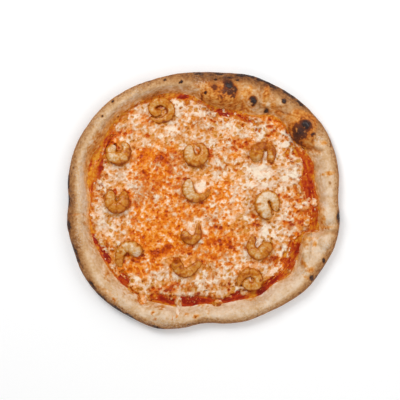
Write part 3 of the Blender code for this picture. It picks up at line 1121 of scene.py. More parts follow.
@dataclass
class Crust:
    """Thin flat bed with a puffed rim, uneven, bubbled and charred in places."""

    outline: Array = field(default_factory=lambda: solid_edge("crust"))
    bed_edge: tuple[float, ...] = (
        122.5, 120.5, 124, 116, 118, 117, 103.5, 100.5, 98, 105, 116, 123, 125.5, 128, 128.5, 126.5, 129.5,
        126.5, 121.5, 124.5, 126, 124.5, 125.5, 124.5, 122.5, 118.5, 115.5, 111, 112.5, 113.5, 118.5, 117,
        121.5, 116.5, 114, 124.5,
    )
    bay: tuple[float, float, float] = (346.0, 4.5, 6.5)
    crest_height: tuple[float, ...] = (
        17, 16, 16, 17, 18, 18.5, 17.5, 17, 17, 15.5, 16, 16.5,
    )
    band_width: tuple[float, ...] = (
        8, 10, 12, 14, 16, 17, 16, 15, 11, 10, 11, 13, 15, 17, 14, 10, 9, 8.5, 9, 8, 7.5, 10, 12, 10,
    )
    flat_tone: tuple[float, ...] = (
        0.24, 0.26, 0.3, 0.37, 0.42, 0.38, 0.32, 0.33, 0.3, 0.29, 0.31, 0.26, 0.24, 0.3, 0.3, 0.26, 0.26,
        0.25, 0.24, 0.23, 0.22, 0.24, 0.26, 0.26,
    )
    side_tone: tuple[float, ...] = (
        0.42, 0.46, 0.47, 0.64, 0.78, 0.78, 0.72, 0.56, 0.5, 0.47, 0.48, 0.56, 0.74, 0.7, 0.6, 0.58, 0.56,
        0.56, 0.6, 0.48, 0.45, 0.54, 0.57, 0.48,
    )
    stain_width: tuple[float, ...] = (4.6, 4.0, 5.0, 4.6, 4.4, 5.6, 4.4, 3.4, 3.0, 3.0, 3.4, 4.6)
    stain_share: tuple[float, ...] = (0.8, 0.8, 0.7, 0.7, 0.8, 1.0, 0.9, 0.55, 0.35, 0.30, 0.35, 0.7)
    line_share: tuple[float, ...] = (0.6, 0.5, 0.5, 0.6, 0.6, 0.6, 0.9, 0.75, 0.7, 0.7, 0.6, 0.7)
    tuck: float = 9.0
    widest: float = 6.4
    crest_share: float = 0.42
    bed: float = 4.0
    blend: float = 2.5
    sides: int = 720
    outer_steps: int = 42
    inner_steps: int = 54
    tuck_steps: int = 9
    rough_seed: int = 11
    paint_seed: int = 23
    flecks: SpotSet = (31, 7.5, 0.25, 1.0, 0.50)
    blisters: SpotSet = (33, 6.0, 0.5, 1.9, 0.6)
    puffed_bubbles: int = 4
    puffed_height: float = 24.0
    swell_size: float = 19.0
    swell_push: float = 0.60
    dimple_size: float = 5.0
    dimple_push: float = 0.26
    puffed_push: float = 0.30
    unrolled_radius: float = 148.0
    line_tone: float = 0.74
    under_tone: float = 0.62
    darkest_bake: float = 0.93
    warmest: float = 1.1

    def edge(self, theta: Array) -> Array:
        """Radius of the outer edge."""
        return around(self.outline, theta)

    def foot(self, theta: Array) -> Array:
        """Radius of the inner wall's foot, with one narrow bay.

        Args:
            theta: angles.

        Returns:
            Radii.
        """
        middle, half, depth = self.bay
        share = np.clip((np.degrees(np.mod(theta, FULL_TURN)) - middle) / half, -1.0, 1.0)
        return around(self.bed_edge, theta) + depth * np.cos(0.5 * math.pi * share) ** 2

    def rise(self, x: Array, y: Array) -> Array:
        """Extra height of the swells, less the creases.

        Args:
            x: places along X.
            y: places along Y.

        Returns:
            Heights to add to the rim.
        """
        tall = np.zeros_like(x)
        for swell in SWELLS:
            d = np.clip(1.0 - swell.reach(x, y) ** 2, 0.0, 1.0)
            tall += swell.weight * d * np.sqrt(d)
        for crease in CREASES:
            tall -= crease.cut(x, y)
        return tall

    def top(self, x: Array, y: Array) -> Array:
        """Height of the crust's upper side, without its fine unevenness.

        Args:
            x: places along X.
            y: places along Y.

        Returns:
            Heights.
        """
        theta = np.arctan2(y, x)
        radius = np.hypot(x, y)
        edge = self.edge(theta)
        foot = self.foot(theta)
        crest = around(self.crest_height, theta)
        share = (edge - radius) / (edge - foot)
        c = np.clip(1.0 - share / self.crest_share, 0.0, 1.0)
        outer = (crest - self.widest) * np.sqrt(1.0 - c * c) + self.widest
        inner_share = np.clip((share - self.crest_share) / (1.0 - self.crest_share), 0.0, 1.0)
        inner = self.bed + (crest - self.bed) * (0.5 + 0.5 * np.cos(math.pi * inner_share**1.12))
        height = np.where(share < self.crest_share, outer, inner)
        dome = np.zeros_like(x)
        for bubble in BUBBLES:
            full = np.sqrt(np.clip(1.0 - bubble.reach(x, y) ** 3, 0.0, 1.0))
            dome = np.maximum(dome, bubble.weight * full)
        dome *= smooth(-0.5, 3.5, radius - foot)
        near = np.clip(0.5 + 0.5 * (dome - height) / self.blend, 0.0, 1.0)
        joined = height + (dome - height) * near + self.blend * near * (1.0 - near)
        loose = smooth(0.0, 5.0, edge - radius) * smooth(0.0, 6.0, radius - foot)
        return joined + self.rise(x, y) * loose

    def rings(self) -> tuple[Array, Array]:
        """Places of all rings from under the centre, round the rim, to the bed.

        Returns:
            The places, rings by sides by 3, and how far each ring may be roughened.
        """
        theta = np.linspace(0.0, FULL_TURN, self.sides, endpoint=False)
        edge = self.edge(theta)
        foot = self.foot(theta)
        wide = edge - foot
        rows: list[Array] = []
        loose: list[float] = []

        def add(radius: Array, height: Array, freedom: float) -> None:
            """Add one ring.

            Args:
                radius: its radii.
                height: its heights.
                freedom: how far it may be roughened.
            """
            level = np.broadcast_to(height, theta.shape)
            rows.append(np.stack([radius * np.cos(theta), radius * np.sin(theta), level], axis=1))
            loose.append(freedom)

        for share in (0.3, 0.6, 0.85):
            add((edge - self.tuck) * share, np.zeros_like(theta), 0.0)
        for turn in np.linspace(0.0, math.pi / 2.0, self.tuck_steps):
            low = self.widest * (1.0 - math.cos(turn))
            add(edge - self.tuck * (1.0 - math.sin(turn)), low + 0.0 * theta, math.sin(turn))
        for turn in np.linspace(0.0, math.pi / 2.0, self.outer_steps)[1:]:
            radius = edge - wide * self.crest_share * (1.0 - math.cos(turn))
            add(radius, self.top(radius * np.cos(theta), radius * np.sin(theta)), 1.0)
        for share in np.linspace(0.0, 1.0, self.inner_steps)[1:]:
            radius = edge - wide * (self.crest_share + (1.0 - self.crest_share) * share)
            height = self.top(radius * np.cos(theta), radius * np.sin(theta))
            add(radius, height, 1.0 - smooth(0.75, 1.0, np.array(share)))
        for share in (0.97, 0.9, 0.6, 0.3):
            add(foot * share, self.bed + 0.0 * theta, 0.0)
        return np.array(rows), np.array(loose)

    def roughen(self, rows: Array, loose: Array) -> Array:
        """Push the rim in and out along its own slope.

        Args:
            rows: places, rings by sides by 3.
            loose: how far each ring may be roughened.

        Returns:
            The roughened places.
        """
        down = np.gradient(rows, axis=0)
        round_step = np.roll(rows, -1, axis=1) - np.roll(rows, 1, axis=1)
        out = np.cross(round_step, down)
        out /= np.maximum(np.linalg.norm(out, axis=2, keepdims=True), 1e-6)
        flat = rows.reshape(-1, 3)
        grain = Grain(self.rough_seed)
        raised = BUBBLES[: self.puffed_bubbles]
        puffed = strongest(raised, flat[:, 0], flat[:, 1], 0.4) / self.puffed_height
        dimple = self.dimple_push + self.puffed_push * puffed
        push = self.swell_push * grain.layers(flat, self.swell_size, 3)
        push += dimple * grain.layers(flat + 50.0, self.dimple_size, 3, 0.6)
        push = push.reshape(rows.shape[:2]) * loose[:, None]
        moved = rows + out * push[:, :, None]
        moved[:, :, 2] = np.maximum(moved[:, :, 2], 0.0)
        return moved

    def paint(self, piece: Piece, points: Array) -> None:
        """Work out where the crust is baked, charred, oily, floury and specked, and where painted shade and
        painted highlights lie.

        Args:
            piece: the crust.
            points: its points.
        """
        x, y, z = points.T
        theta = np.arctan2(y, x)
        radius = np.hypot(x, y)
        grain = Grain(self.paint_seed)
        broad = grain.layers(points, 22.0, 3)
        mid = grain.layers(points + 9.0, 7.0, 3)
        fine = grain.layers(points + 70.0, 2.6, 2)
        inset = self.edge(theta) - radius
        line = around(self.line_share, theta)
        reach = around(self.band_width, theta)
        band = smooth(1.0, 0.0, (inset + 2.6 * mid + 1.8 * fine - 4.0) / (reach - 4.0))
        bake = around(self.flat_tone, theta) + 0.14 * broad + 0.17 * mid + 0.11 * fine
        bake += (around(self.side_tone, theta) - bake) * band * (0.95 + 0.40 * mid)
        rim = smooth(4.0, 1.0, inset + 1.5 * mid + 1.0 * fine) * line
        bake += (self.line_tone - bake) * rim * 0.8
        under = smooth(self.widest + 1.0, 1.0, z) * smooth(24.0, 8.0, inset)
        bake += (self.under_tone + 0.12 * broad + 0.12 * mid - bake) * under
        warm = lay(WARMS, x + 1.6 * mid + 0.8 * fine, y + 1.6 * fine, 0.6) * (0.9 + 0.7 * mid + 0.5 * fine)
        wall = radius - self.foot(theta)
        tall = around(self.stain_width, theta)
        stain = smooth(tall + 4.0, tall - 0.5, wall + 4.0 * mid + 2.0 * fine) * smooth(-6.0, -1.0, wall)
        warm = np.maximum(warm, stain * (0.80 + 0.5 * mid) * around(self.stain_share, theta))
        bake += (0.62 * mid + 0.56 * fine - 0.04 + 0.06 * smooth(16.0, 6.0, wall)) * np.clip(warm, 0.0, 1.0)
        # Darker along the creases: painted shade in the grooves.
        crease_shade = np.zeros_like(x)
        for crease in CREASES:
            crease_shade = np.maximum(crease_shade, crease.cut(x, y) / 3.0)
        bake += 0.14 * np.clip(crease_shade, 0.0, 1.0)
        char = strongest(CHARS + RIM_CHARS, x + 1.6 * mid + 0.9 * fine, y + 1.6 * fine, 0.75)
        bake += 0.50 * smooth(0.30, 0.80, char) * (1.0 + 1.6 * mid + 1.2 * fine)
        gap, value = Spots(*self.flecks).gap(x + 1.2 * mid, y + z + 1.2 * fine)
        fleck = smooth(0.35, -0.3, gap) * (0.15 + 0.45 * value) * np.maximum(band, 0.12)
        length = theta * self.unrolled_radius + 1.5 * mid
        blister, depth = Spots(*self.blisters).gap(length, inset + 200.0 + 1.5 * fine)
        leopard = smooth(0.6, -0.6, blister) * (0.12 + 0.36 * depth) * smooth(8.0, 1.0, inset) * line
        char = np.maximum(char, np.maximum(fleck, leopard))
        flour = lay(FLOURS_AND_HIGHLIGHTS, x, y, 0.6) + 0.08 + 0.25 * broad
        keep_values(
            piece,
            bake=np.clip(bake, 0.0, self.darkest_bake),
            char=np.clip(char, 0.0, 1.0),
            warm=np.clip(warm, 0.0, self.warmest),
            flour=np.clip(flour * (1.0 - 0.7 * np.clip(warm, 0.0, 1.0)), 0.0, 1.0),
            speck=np.clip(0.06 + 0.62 * band + 0.25 * broad, 0.0, 1.0),
        )

    def build(self, shelf: EffectShelf) -> Piece:
        """Build and dress the crust.

        Args:
            shelf: the shared effects.

        Returns:
            The crust.
        """
        rows, loose = self.rings()
        rows = self.roughen(rows, loose)
        poles = ([[0.0, 0.0, 0.0]], [[0.0, 0.0, self.bed]])
        points = np.concatenate([poles[0], rows.reshape(-1, 3), poles[1]])
        faces, fans = ring_faces(len(rows), self.sides)
        piece = make_piece("baked_crust", points, faces, fans)
        self.paint(piece, points)
        piece.data.materials.append(CrustFinish().material(shelf))
        return piece


# ---------------------------------------------------------------------------------------
# The shrimps
# ---------------------------------------------------------------------------------------
@dataclass(frozen=True)
class Shrimp:
    """One curled shrimp: its body in plan from tail to head, and how browned it is."""

    body: tuple[tuple[float, float, float], ...]
    toast: tuple[float, float, float]
    sink: float = 1.3

    def spine(self, share: Array) -> tuple[Array, Array, Array]:
        """Middle line and half width of the body in plan.

        Args:
            share: shares from the tail, 0, to the head, 1.

        Returns:
            Places along X, places along Y, and half widths.
        """
        return tuple(along(column, share) for column in zip(*self.body))

    def centre(self) -> Array:
        """Middle of the body in plan."""
        return np.mean(np.array(self.body), axis=0)[:2]

    def gap(self, x: Array, y: Array) -> Array:
        """Distance from places to the body's side, negative under the body.

        Args:
            x: places along X.
            y: places along Y.

        Returns:
            Distances.
        """
        px, py, half = self.spine(np.linspace(0.03, 0.97, 70))
        away = np.hypot(x[:, None] - px[None, :], y[:, None] - py[None, :]) - half[None, :]
        return away.min(axis=1)


SHRIMPS = (
    Shrimp(
        ((-58.4, 90.8, 1.8), (-50.2, 87.8, 3.2), (-41.6, 89.6, 4.2), (-36, 95.6, 4.8), (-37.4, 103.4, 5),
         (-44.6, 108.2, 4.8), (-52.8, 107, 4.8), (-56.6, 100.8, 4.6), (-52.4, 96.2, 5), (-46.4, 98.8, 4.4)),
        (0.5, 0.4, 0.46),
    ),
    Shrimp(
        ((-90.2, 62.4, 1.8), (-85.8, 60.2, 4.4), (-84.8, 54, 5.8), (-87.4, 48.2, 7.2), (-94.2, 46.2, 7.6),
         (-100.4, 49.4, 7.2), (-100.6, 55.8, 6), (-96.8, 60.2, 3.8)),
        (0.42, 0.3, 0.24),
    ),
    Shrimp(
        ((-8.2, 60.2, 2.2), (-2.4, 60, 3.6), (0.4, 54.4, 5), (-0.6, 47.8, 6.2), (-5.8, 43.8, 7),
         (-12, 44.4, 7.4), (-15.6, 50.2, 7), (-15.6, 56.4, 5.6), (-15.2, 61, 3.4)),
        (0.52, 0.4, 0.26),
    ),
    Shrimp(
        ((70.6, 41.2, 2.8), (73.4, 45.8, 4.6), (74.8, 51.6, 5), (72.8, 57.4, 5), (66.8, 59.8, 4.8),
         (60.6, 57, 7), (58, 50.2, 8), (56.8, 42.2, 5.8)),
        (0.54, 0.6, 0.48),
    ),
    Shrimp(
        ((-88, 10.6, 2.6), (-87.2, 5, 5.4), (-87.8, -1.6, 6.8), (-91.6, -6.8, 7.4), (-97.6, -7, 7.2),
         (-101.8, -2.4, 6.8), (-102.2, 4.4, 6.2), (-100.8, 10.8, 3.8)),
        (0.6, 0.52, 0.32),
    ),
    Shrimp(
        ((6.6, 13, 1.4), (4.8, 8.4, 2.8), (0.4, 4.6, 4.2), (-6.2, 3, 5.6), (-12.8, 5.2, 7),
         (-16.6, 11.4, 7.4), (-16.6, 18, 6), (-15.6, 23.4, 3.8)),
        (0.62, 0.34, 0.2),
    ),
    Shrimp(
        ((79.8, -11.8, 2.8), (78.8, -6.8, 5), (78.2, -0.6, 5.6), (74.8, 4.6, 6), (68.6, 4.8, 6.8),
         (64, 0, 7.8), (64.4, -7, 8.6), (68.4, -13.8, 7.8), (73.4, -19.4, 4)),
        (0.28, 0.08, 0.18),
    ),
    Shrimp(
        ((-6, -23.6, 1.8), (-6, -28.8, 3), (-5.8, -34.6, 3.9), (-7.8, -40.6, 5), (-13.4, -43.2, 5.8),
         (-19.2, -40, 6), (-21.6, -33.2, 4.7)),
        (0.6, 0.56, 0.36),
    ),
    Shrimp(
        ((-91, -73.6, 2.4), (-92.2, -66.4, 4.6), (-91.4, -58.4, 5.6), (-87.2, -52.2, 6.4),
         (-80.6, -50.6, 7.2), (-74.6, -54.4, 8.2), (-71.8, -61.4, 6.6)),
        (0.54, 0.3, 0.16),
    ),
    Shrimp(
        ((57.4, -39.4, 2.4), (53.8, -43.8, 4.2), (52, -49.8, 5), (54.8, -56.4, 6.4), (61.4, -58.4, 7.4),
         (67.6, -53.2, 7.6), (72.4, -46, 6.2)),
        (0.6, 0.44, 0.46),
    ),
    Shrimp(
        ((-1.4, -68.6, 2.8), (-7.2, -70.8, 4.6), (-12.4, -75.4, 5.4), (-18, -78.8, 6), (-24.6, -77.2, 6.4),
         (-28.6, -71.6, 6.8), (-29.4, -65, 6)),
        (0.5, 0.46, 0.58), 2.2,
    ),
    Shrimp(
        ((38.8, -93.6, 2), (40.2, -86.8, 3.8), (45.2, -80.6, 5), (53, -79, 5.2), (59.2, -83.6, 5.4),
         (59.4, -91, 5.4), (53.4, -94.2, 5.2), (46.8, -91.8, 4.6), (49.6, -86.6, 3.8)),
        (0.5, 0.44, 0.4),
    ),
)
SHRIMP_MARKS = patches(
    (-40.8, 98.4, 2.2, 3, 0, 0.6), (-49, 99.5, 5, 4, 0, 0.12), (-42.5, 86.2, 2.2, 1.2, 0, 0.5),
    (-50.5, 101, 3.6, 2.8, 0, 0.2), (-85.2, 53.5, 2, 1.8, 0, 0.3), (-92, 42, 9, 2.2, 10, 0.16),
    (-81.5, 52, 2, 8, 0, 0.2), (-10, 42.5, 2.6, 2, 0, 0.35), (-12, 38.6, 4, 1.6, -30, 0.35),
    (-17, 58, 3, 3, 0, -0.12), (76, 53.6, 2.2, 3.6, 12, 0.24), (67.7, 57.5, 3.4, 2, 0, 0.22),
    (73, 43, 3, 3, 0, 0.25), (64, 62, 6, 2, 20, 0.15), (58, 45, 4, 3, 0, -0.1),
    (74, 49.6, 2.2, 3.4, 0, -0.26), (56.4, 50.8, 1.8, 1.6, 0, 0.26), (60.8, -4, 2.4, 1.8, 0, 0.34),
    (70, -20, 5, 1.8, 10, 0.3), (62, -14, 2, 4, 20, 0.22), (-18, -42, 5, 3, 20, 0.34),
    (-23.4, -38, 2.2, 4, 20, 0.3), (-4.6, -33, 2.2, 6, 0, 0.15), (-69.6, -66, 3.4, 2, 30, 0.3),
    (-91, -56.5, 2, 1.8, 0, 0.35), (-17, 0.4, 6, 1.8, 0, 0.25), (-4, 0.8, 5, 1.8, 10, 0.22),
    (57.5, -41, 2.6, 2.2, 0, 0.35), (69, -55.5, 4, 3.4, 40, 0.3), (58.5, -60, 3.4, 2.6, 0, -0.14),
    (-30, -67, 2.6, 2.4, 0, 0.32), (-25, -73.5, 2.8, 2, -40, 0.28), (-23, -81, 3.4, 1.8, 0, 0.28),
    (-16.5, -81.5, 2.6, 2.2, 0, -0.16), (62.3, -87.2, 1.6, 1.6, 0, 0.6), (52.5, -80.5, 8, 1.4, -4, 0.25),
    (44, -83, 2.4, 1.4, 60, 0.2),
)


@dataclass
class ShrimpBody:
    """Builds the segmented flesh of a shrimp around its middle line."""

    shrimp: Shrimp
    index: int
    seat: float = 8.5
    flat_under: float = 0.5
    roundness: float = 0.75
    fullness: float = 2.3
    segments: int = 6
    rings: int = 132
    sides: int = 44
    samples: int = 801
    smoothing: int = 61
    seed: int = 300
    first_groove: float = 0.06
    grooved_share: float = 0.88
    groove_width: float = 0.12
    groove_depth: float = 0.050
    lap_depth: float = 0.035
    end_width: float = 0.97
    tightest_bend: float = 0.92
    # Tone of the sides: partly the flesh's browning, partly painted shade.
    side_tone: float = 0.70

    def outline_share(self, place: Array, total: float) -> Array:
        """Share of full width at places along the body, rounded at both ends.

        Args:
            place: lengths from the tail.
            total: length of the body.

        Returns:
            Shares from 0 to 1.
        """
        tail = 1.3 * self.shrimp.body[0][2]
        head = 0.9 * self.shrimp.body[-1][2]
        low = np.clip(1.0 - place / tail, 0.0, 1.0)
        high = np.clip(1.0 - (total - place) / head, 0.0, 1.0)
        return np.sqrt(np.clip((1.0 - low**2) * (1.0 - high**2), 0.0, 1.0))

    def middle(self) -> tuple[Array, Array]:
        """Middle line of the body, sampled closely.

        Returns:
            Lengths from the tail, and rows of places along X and Y, half widths, directions
            along X and Y, and smoothed bends.
        """
        px, py, half = self.shrimp.spine(np.linspace(0.0, 1.0, self.samples))
        length = np.concatenate(([0.0], np.cumsum(np.hypot(np.diff(px), np.diff(py)))))
        tx = np.gradient(px, length)
        ty = np.gradient(py, length)
        bend = tx * np.gradient(ty, length) - ty * np.gradient(tx, length)
        bend = np.pad(bend, self.smoothing // 2, mode="edge")
        bend = np.convolve(bend, np.ones(self.smoothing) / self.smoothing, mode="valid")
        return length, np.stack([px, py, half, tx, ty, bend])

    def segment(self, share: Array) -> tuple[Array, Array]:
        """Grooves between the segments, and how each segment laps over the next.

        Args:
            share: places as shares of the body's length.

        Returns:
            How deep in a groove each place is, and its share of full width.
        """
        phase = np.clip((share - self.first_groove) / self.grooved_share, 0.0, 1.0) * self.segments
        notch = phase - np.floor(phase)
        groove = np.exp(-((np.minimum(notch, 1.0 - notch) / self.groove_width) ** 2))
        inside = (phase > 0.4) & (phase < self.segments - 0.4)
        lapped = 1.0 - self.groove_depth * groove - self.lap_depth * notch
        return groove * inside, np.where(inside, lapped, self.end_width)

    def build(self, finish: Material) -> Piece:
        """Build and dress the body.

        Args:
            finish: the flesh material.

        Returns:
            The shrimp.
        """
        length, rows = self.middle()
        total = length[-1]
        spread = 0.5 - 0.5 * np.cos(np.linspace(0.035, math.pi - 0.035, self.rings))
        place = total * (0.72 * spread + 0.28 * np.linspace(0.002, 0.998, self.rings))
        groove, lap = self.segment(place / total)
        cx, cy, half, ux, uy, k = (np.interp(place, length, row) for row in rows)
        w = half * self.outline_share(place, total)
        a = np.linspace(0.0, FULL_TURN, self.sides, endpoint=False)
        power = 2.0 / self.fullness
        side = (np.sign(np.cos(a)) * np.abs(np.cos(a)) ** power)[None, :]
        lift = (np.sign(np.sin(a)) * np.abs(np.sin(a)) ** power)[None, :]
        across = w[:, None] * side
        outer = across * k[:, None] < 0.0
        across = across * np.where(outer, lap[:, None], 1.0 - 0.5 * (1.0 - lap[:, None]))
        limit = self.tightest_bend / np.maximum(np.abs(k), 1e-4)[:, None]
        across = np.where(outer, across, np.sign(across) * np.minimum(np.abs(across), limit))
        upper = self.roundness * lap[:, None] * lift
        tall = w[:, None] * np.where(lift > 0.0, upper, self.flat_under * lift)
        core = self.seat + self.flat_under * np.maximum(w, 0.5 * rows[2].max()) - self.shrimp.sink
        x = cx[:, None] - uy[:, None] * across
        y = cy[:, None] + ux[:, None] * across
        body = np.stack([x, y, core[:, None] + tall], axis=2)
        grain = Grain(self.seed + self.index)
        flat = body.reshape(-1, 3)
        rough = 0.30 * grain.layers(flat, 7.0, 3) + 0.12 * grain.layers(flat + 40.0, 2.4, 2)
        away = body - np.stack([cx, cy, core], axis=1)[:, None, :]
        away /= np.maximum(np.linalg.norm(away, axis=2, keepdims=True), 1e-6)
        body = body + away * rough.reshape(body.shape[:2])[:, :, None]
        tail = [[rows[0, 0], rows[1, 0], core[0]]]
        head = [[rows[0, -1], rows[1, -1], core[-1]]]
        points = np.concatenate([tail, body.reshape(-1, 3), head])
        faces, fans = ring_faces(self.rings, self.sides)
        piece = make_piece(f"curled_shrimp_{self.index:02d}", points, faces, fans)
        # Sides turn darker amber: partly the flesh's own browning, partly painted shade, more so on the
        # side turned away from the key light.
        away_from_light = -uy[:, None] * side * 0.6 - ux[:, None] * side * 0.8
        done = along(self.shrimp.toast, place / total)[:, None] + 0.0 * lift
        edge = smooth(0.97, 0.48, lift + 0.10 * away_from_light)
        done = done + (self.side_tone + 0.14 * away_from_light - done) * edge
        done = done + 0.16 * groove[:, None] * (0.5 + 0.5 * outer)
        cloud = grain.layers(flat + 15.0, 7.0, 3)
        tone = done.ravel() + 0.30 * cloud + 0.16 * grain.layers(flat + 80.0, 2.4, 2)
        tone = tone + lay(SHRIMP_MARKS, flat[:, 0] + 0.6 * cloud, flat[:, 1], 0.5)
        keep_values(piece, toast=np.clip(np.concatenate([[0.7], tone, [0.5]]), 0.0, 1.0))
        piece.data.materials.append(finish)
        return piece


# ---------------------------------------------------------------------------------------
# Sauce and cheese
# ---------------------------------------------------------------------------------------
DEEP_SAUCE = rim_patches(
    (161, 126, 2.6, 21, -0.34), (158, 121, 1.4, 12, 0.3), (151, 119.5, 3.4, 6, 0.45),
    (166, 117.5, 3.4, 5, 0.45), (8, 116, 6, 9, 0.55), (18, 119, 13, 9, 0.34), (358, 120, 8, 9, 0.34),
    (27, 120, 5, 8, 0.3), (63, 102, 3, 9, 0.5), (77, 99, 4, 9, 0.8), (101, 116, 3, 8, 0.8),
    (148, 124, 4, 6, 0.4), (161, 118, 5, 5, 0.4), (172, 120, 4, 6, 0.5), (200, 126, 3.6, 7, 0.8),
    (209.5, 123.5, 4.6, 10, 0.8), (225, 123, 5.5, 7.5, 0.8), (240, 116, 5, 4, 0.6),
    (250.5, 116, 4.5, 11, 0.8), (263, 111, 7, 12, 0.8), (272.5, 109.5, 4, 7, 0.7), (287, 109.5, 7, 14, 0.8),
    (303, 119, 5, 7, 0.7), (311, 115.5, 4.5, 10, 0.7), (324, 116, 6, 6, 0.5), (333, 117, 7, 7, 0.6),
    (350, 123, 5, 6, 0.4),
)
WINDOWS = rim_patches(
    (8, 114.5, 5.5, 9, 1), (22, 120.5, 3, 6, 1), (27, 119.5, 7, 5, 1), (76, 99.5, 3.6, 8, 1),
    (63, 101, 1.8, 9, 1), (100, 116.5, 3, 7, 1), (148.5, 125, 3.4, 7, 1), (160.5, 123.5, 3.4, 5, 1),
    (169.5, 122.5, 3.2, 4.5, 1), (176.5, 119, 3.2, 3.6, 1), (201, 127, 2.6, 4.5, 1),
    (210.5, 123, 3.6, 8, 1), (224.5, 123, 5, 6.5, 1), (249, 116.5, 3.2, 10, 1), (263, 114, 5.5, 10, 1),
    (272.5, 108.5, 2.4, 5, 1), (285, 111.5, 5, 8, 1), (300.5, 117.5, 6.5, 9, 1), (310.5, 117, 3.4, 11, 1),
    (320.5, 115, 5, 4, 1), (326, 115.5, 4, 6, 1), (333, 114.5, 9, 7, 1), (353.5, 121, 5, 6, 1),
    (353, 112.5, 5, 2.2, 1),
)
SPILLS = patches(
    (-118, -14, 8, 9, 0, 1), (20, -99, 11, 9, 0, 1), (122, -2, 5, 5, 0, 1),
) + rim_patches(
    (257, 123, 12, 3.3, 1), (255.2, 131, 10, 1.9, 1), (255.5, 114, 6.5, 3.6, 1), (238, 128, 5.5, 6.5, 1),
    (241, 123, 3, 4, 1), (220.5, 124.5, 2.6, 3.6, 1), (231.5, 117, 8, 8, 1), (294, 111, 3, 5, 1),
    (277.5, 114, 4.5, 6.5, 1), (105, 108, 9, 3.2, 1), (320.5, 122.5, 2.4, 3.4, 1),
    (351, 117.5, 1.8, 1.8, 1),
)
CREAMS = patches(
    (-10, 100, 12, 10, 20, 0.26), (-29, 100, 4, 14, 4, 0.3), (-36, 78, 13, 8, 10, 0.2),
    (-76, 90, 8, 6, 50, 0.24), (-92, 80, 5, 4, 60, 0.24), (-85, 65, 9, 2.4, -24, 0.34),
    (-76, 51, 3, 10, 14, 0.32), (-109, 45, 2.4, 7, 10, 0.3), (-95, 34, 12, 5, 0, 0.3),
    (-98, 25, 16, 5, 0, 0.24), (-114, -6, 9, 6, 0, 0.26), (-115, -20, 10, 8, 0, 0.22),
    (-104, -34, 12, 7, 0, 0.12), (-35, 24, 6, 2.2, -45, 0.34), (-18.5, 30, 2, 5, 0, 0.34),
    (-4, 15, 7, 5, 30, 0.4), (3, 20, 7, 6, 0, 0.2), (-13, -31, 6, 9, 10, 0.5), (2, -32, 4, 7, 0, 0.34),
    (28, -15, 11, 7, 20, 0.24), (25, 34, 5, 5, 0, 0.16), (14, 44, 6, 4, 0, 0.2), (47, -8, 8, 7, 0, 0.2),
    (64, -36, 7, 4, -10, 0.4), (58, -46, 3, 6, 30, 0.42), (72, -31, 9, 5, 0, 0.26),
    (55, -72, 10, 5, -20, 0.32), (47, -58, 4, 4, 0, 0.24), (34, -73, 6, 5, 0, 0.22),
    (38, -93, 3, 6, 0, 0.24), (72, 68, 22, 7, -4, 0.2), (88, 61, 7, 4, 0, 0.26), (60, 36, 14, 8, 0, 0.2),
    (80, 34, 26, 24, 0, 0.2), (100, 34, 8, 16, 0, 0.18), (68, 43, 3.4, 8, 0, 0.24),
    (60, 15, 22, 10, 0, 0.1), (92, 18, 10, 8, 0, 0.12), (-41, -75, 4, 13, 4, 0.26),
    (-35, -85, 6, 4, 0, 0.3), (-72, -92, 12, 6, -20, 0.24), (-69, -109, 9, 4.4, 0, 0.26),
    (-28, -106, 4, 8, 0, 0.26), (16, -95, 12, 11, 0, 0.2), (0, -90, 9, 12, 0, 0.16),
    (112, -35, 6, 5, 0, 0.22), (113, -6, 8, 9, 0, 0.16), (94, -36, 6, 5, 0, 0.26),
    (74, -79, 8, 4, 20, 0.24), (88, -56, 8, 8, 0, 0.14), (94, -79, 5, 4, 30, 0.2),
    (46, -101, 5, 2.8, 10, 0.22), (56, 84, 10, 6, 0, 0.12), (30, 80, 12, 10, 0, 0.08),
    (-58, -10, 3, 7, 30, 0.12), (10, -118, 9, 3, 0, 0.1),
) + rim_patches(
    (257, 122, 12, 3.6, 0.56), (255.6, 132, 10, 3.2, 0.3),
)
OILS = patches(
    (-52, 34, 28, 18, -20, 0.5), (-48, 6, 26, 18, 0, 0.24), (-52, -22, 26, 18, 0, 0.22),
    (-72, 8, 14, 20, 0, 0.16), (-28, -12, 18, 18, 0, 0.14), (-46, 50, 20, 10, 0, 0.16),
    (-62, -72, 16, 12, 0, 0.2), (-45, -55, 16, 6, 10, 0.3), (-30, -50, 14, 6, 0, 0.26),
    (12, -30, 16, 14, 0, 0.16), (28, -46, 20, 10, -20, 0.18), (12, -55, 20, 10, 0, 0.12),
    (20, -68, 12, 8, 0, 0.14), (-105, 64, 10, 9, 30, 0.34), (-114, 42, 4, 14, 10, 0.36),
    (-90, 74, 10, 4, 10, 0.26), (-62, 90, 8, 9, 0, 0.2), (-64, 68, 16, 8, 0, 0.06),
    (-4, -8, 12, 8, 0, 0.16), (6, -14, 8, 8, 0, 0.14), (20, 2, 22, 20, 0, 0.18), (-2, -50, 24, 12, 0, 0.16),
    (-50, -36, 30, 22, 0, 0.16), (28, 60, 16, 12, 0, 0.1), (36, 50, 8, 10, 0, 0.08),
    (-2, 78, 14, 10, 0, 0.06), (8, 104, 8, 6, -30, 0.16), (90, 72, 6, 10, 10, 0.1),
    (76, 84, 12, 6, -20, 0.12), (98, -24, 12, 8, 0, 0.26), (104, -14, 10, 5, 0, 0.22),
    (96, 4, 12, 5, 10, 0.18), (102, -48, 8, 12, 0, 0.26), (76, -66, 12, 6, 20, 0.22),
    (92, -68, 8, 7, 0, 0.24), (88, -84, 5, 6, 0, 0.2), (122, -22, 5, 16, 0, 0.3),
    (-48, -98, 14, 6, 0, 0.16), (-12, -104, 18, 4, 0, 0.2), (-88, -72, 10, 8, 0, 0.18),
    (-58, -44, 14, 7, 0, 0.12), (-28, -94, 10, 6, 0, 0.1),
)
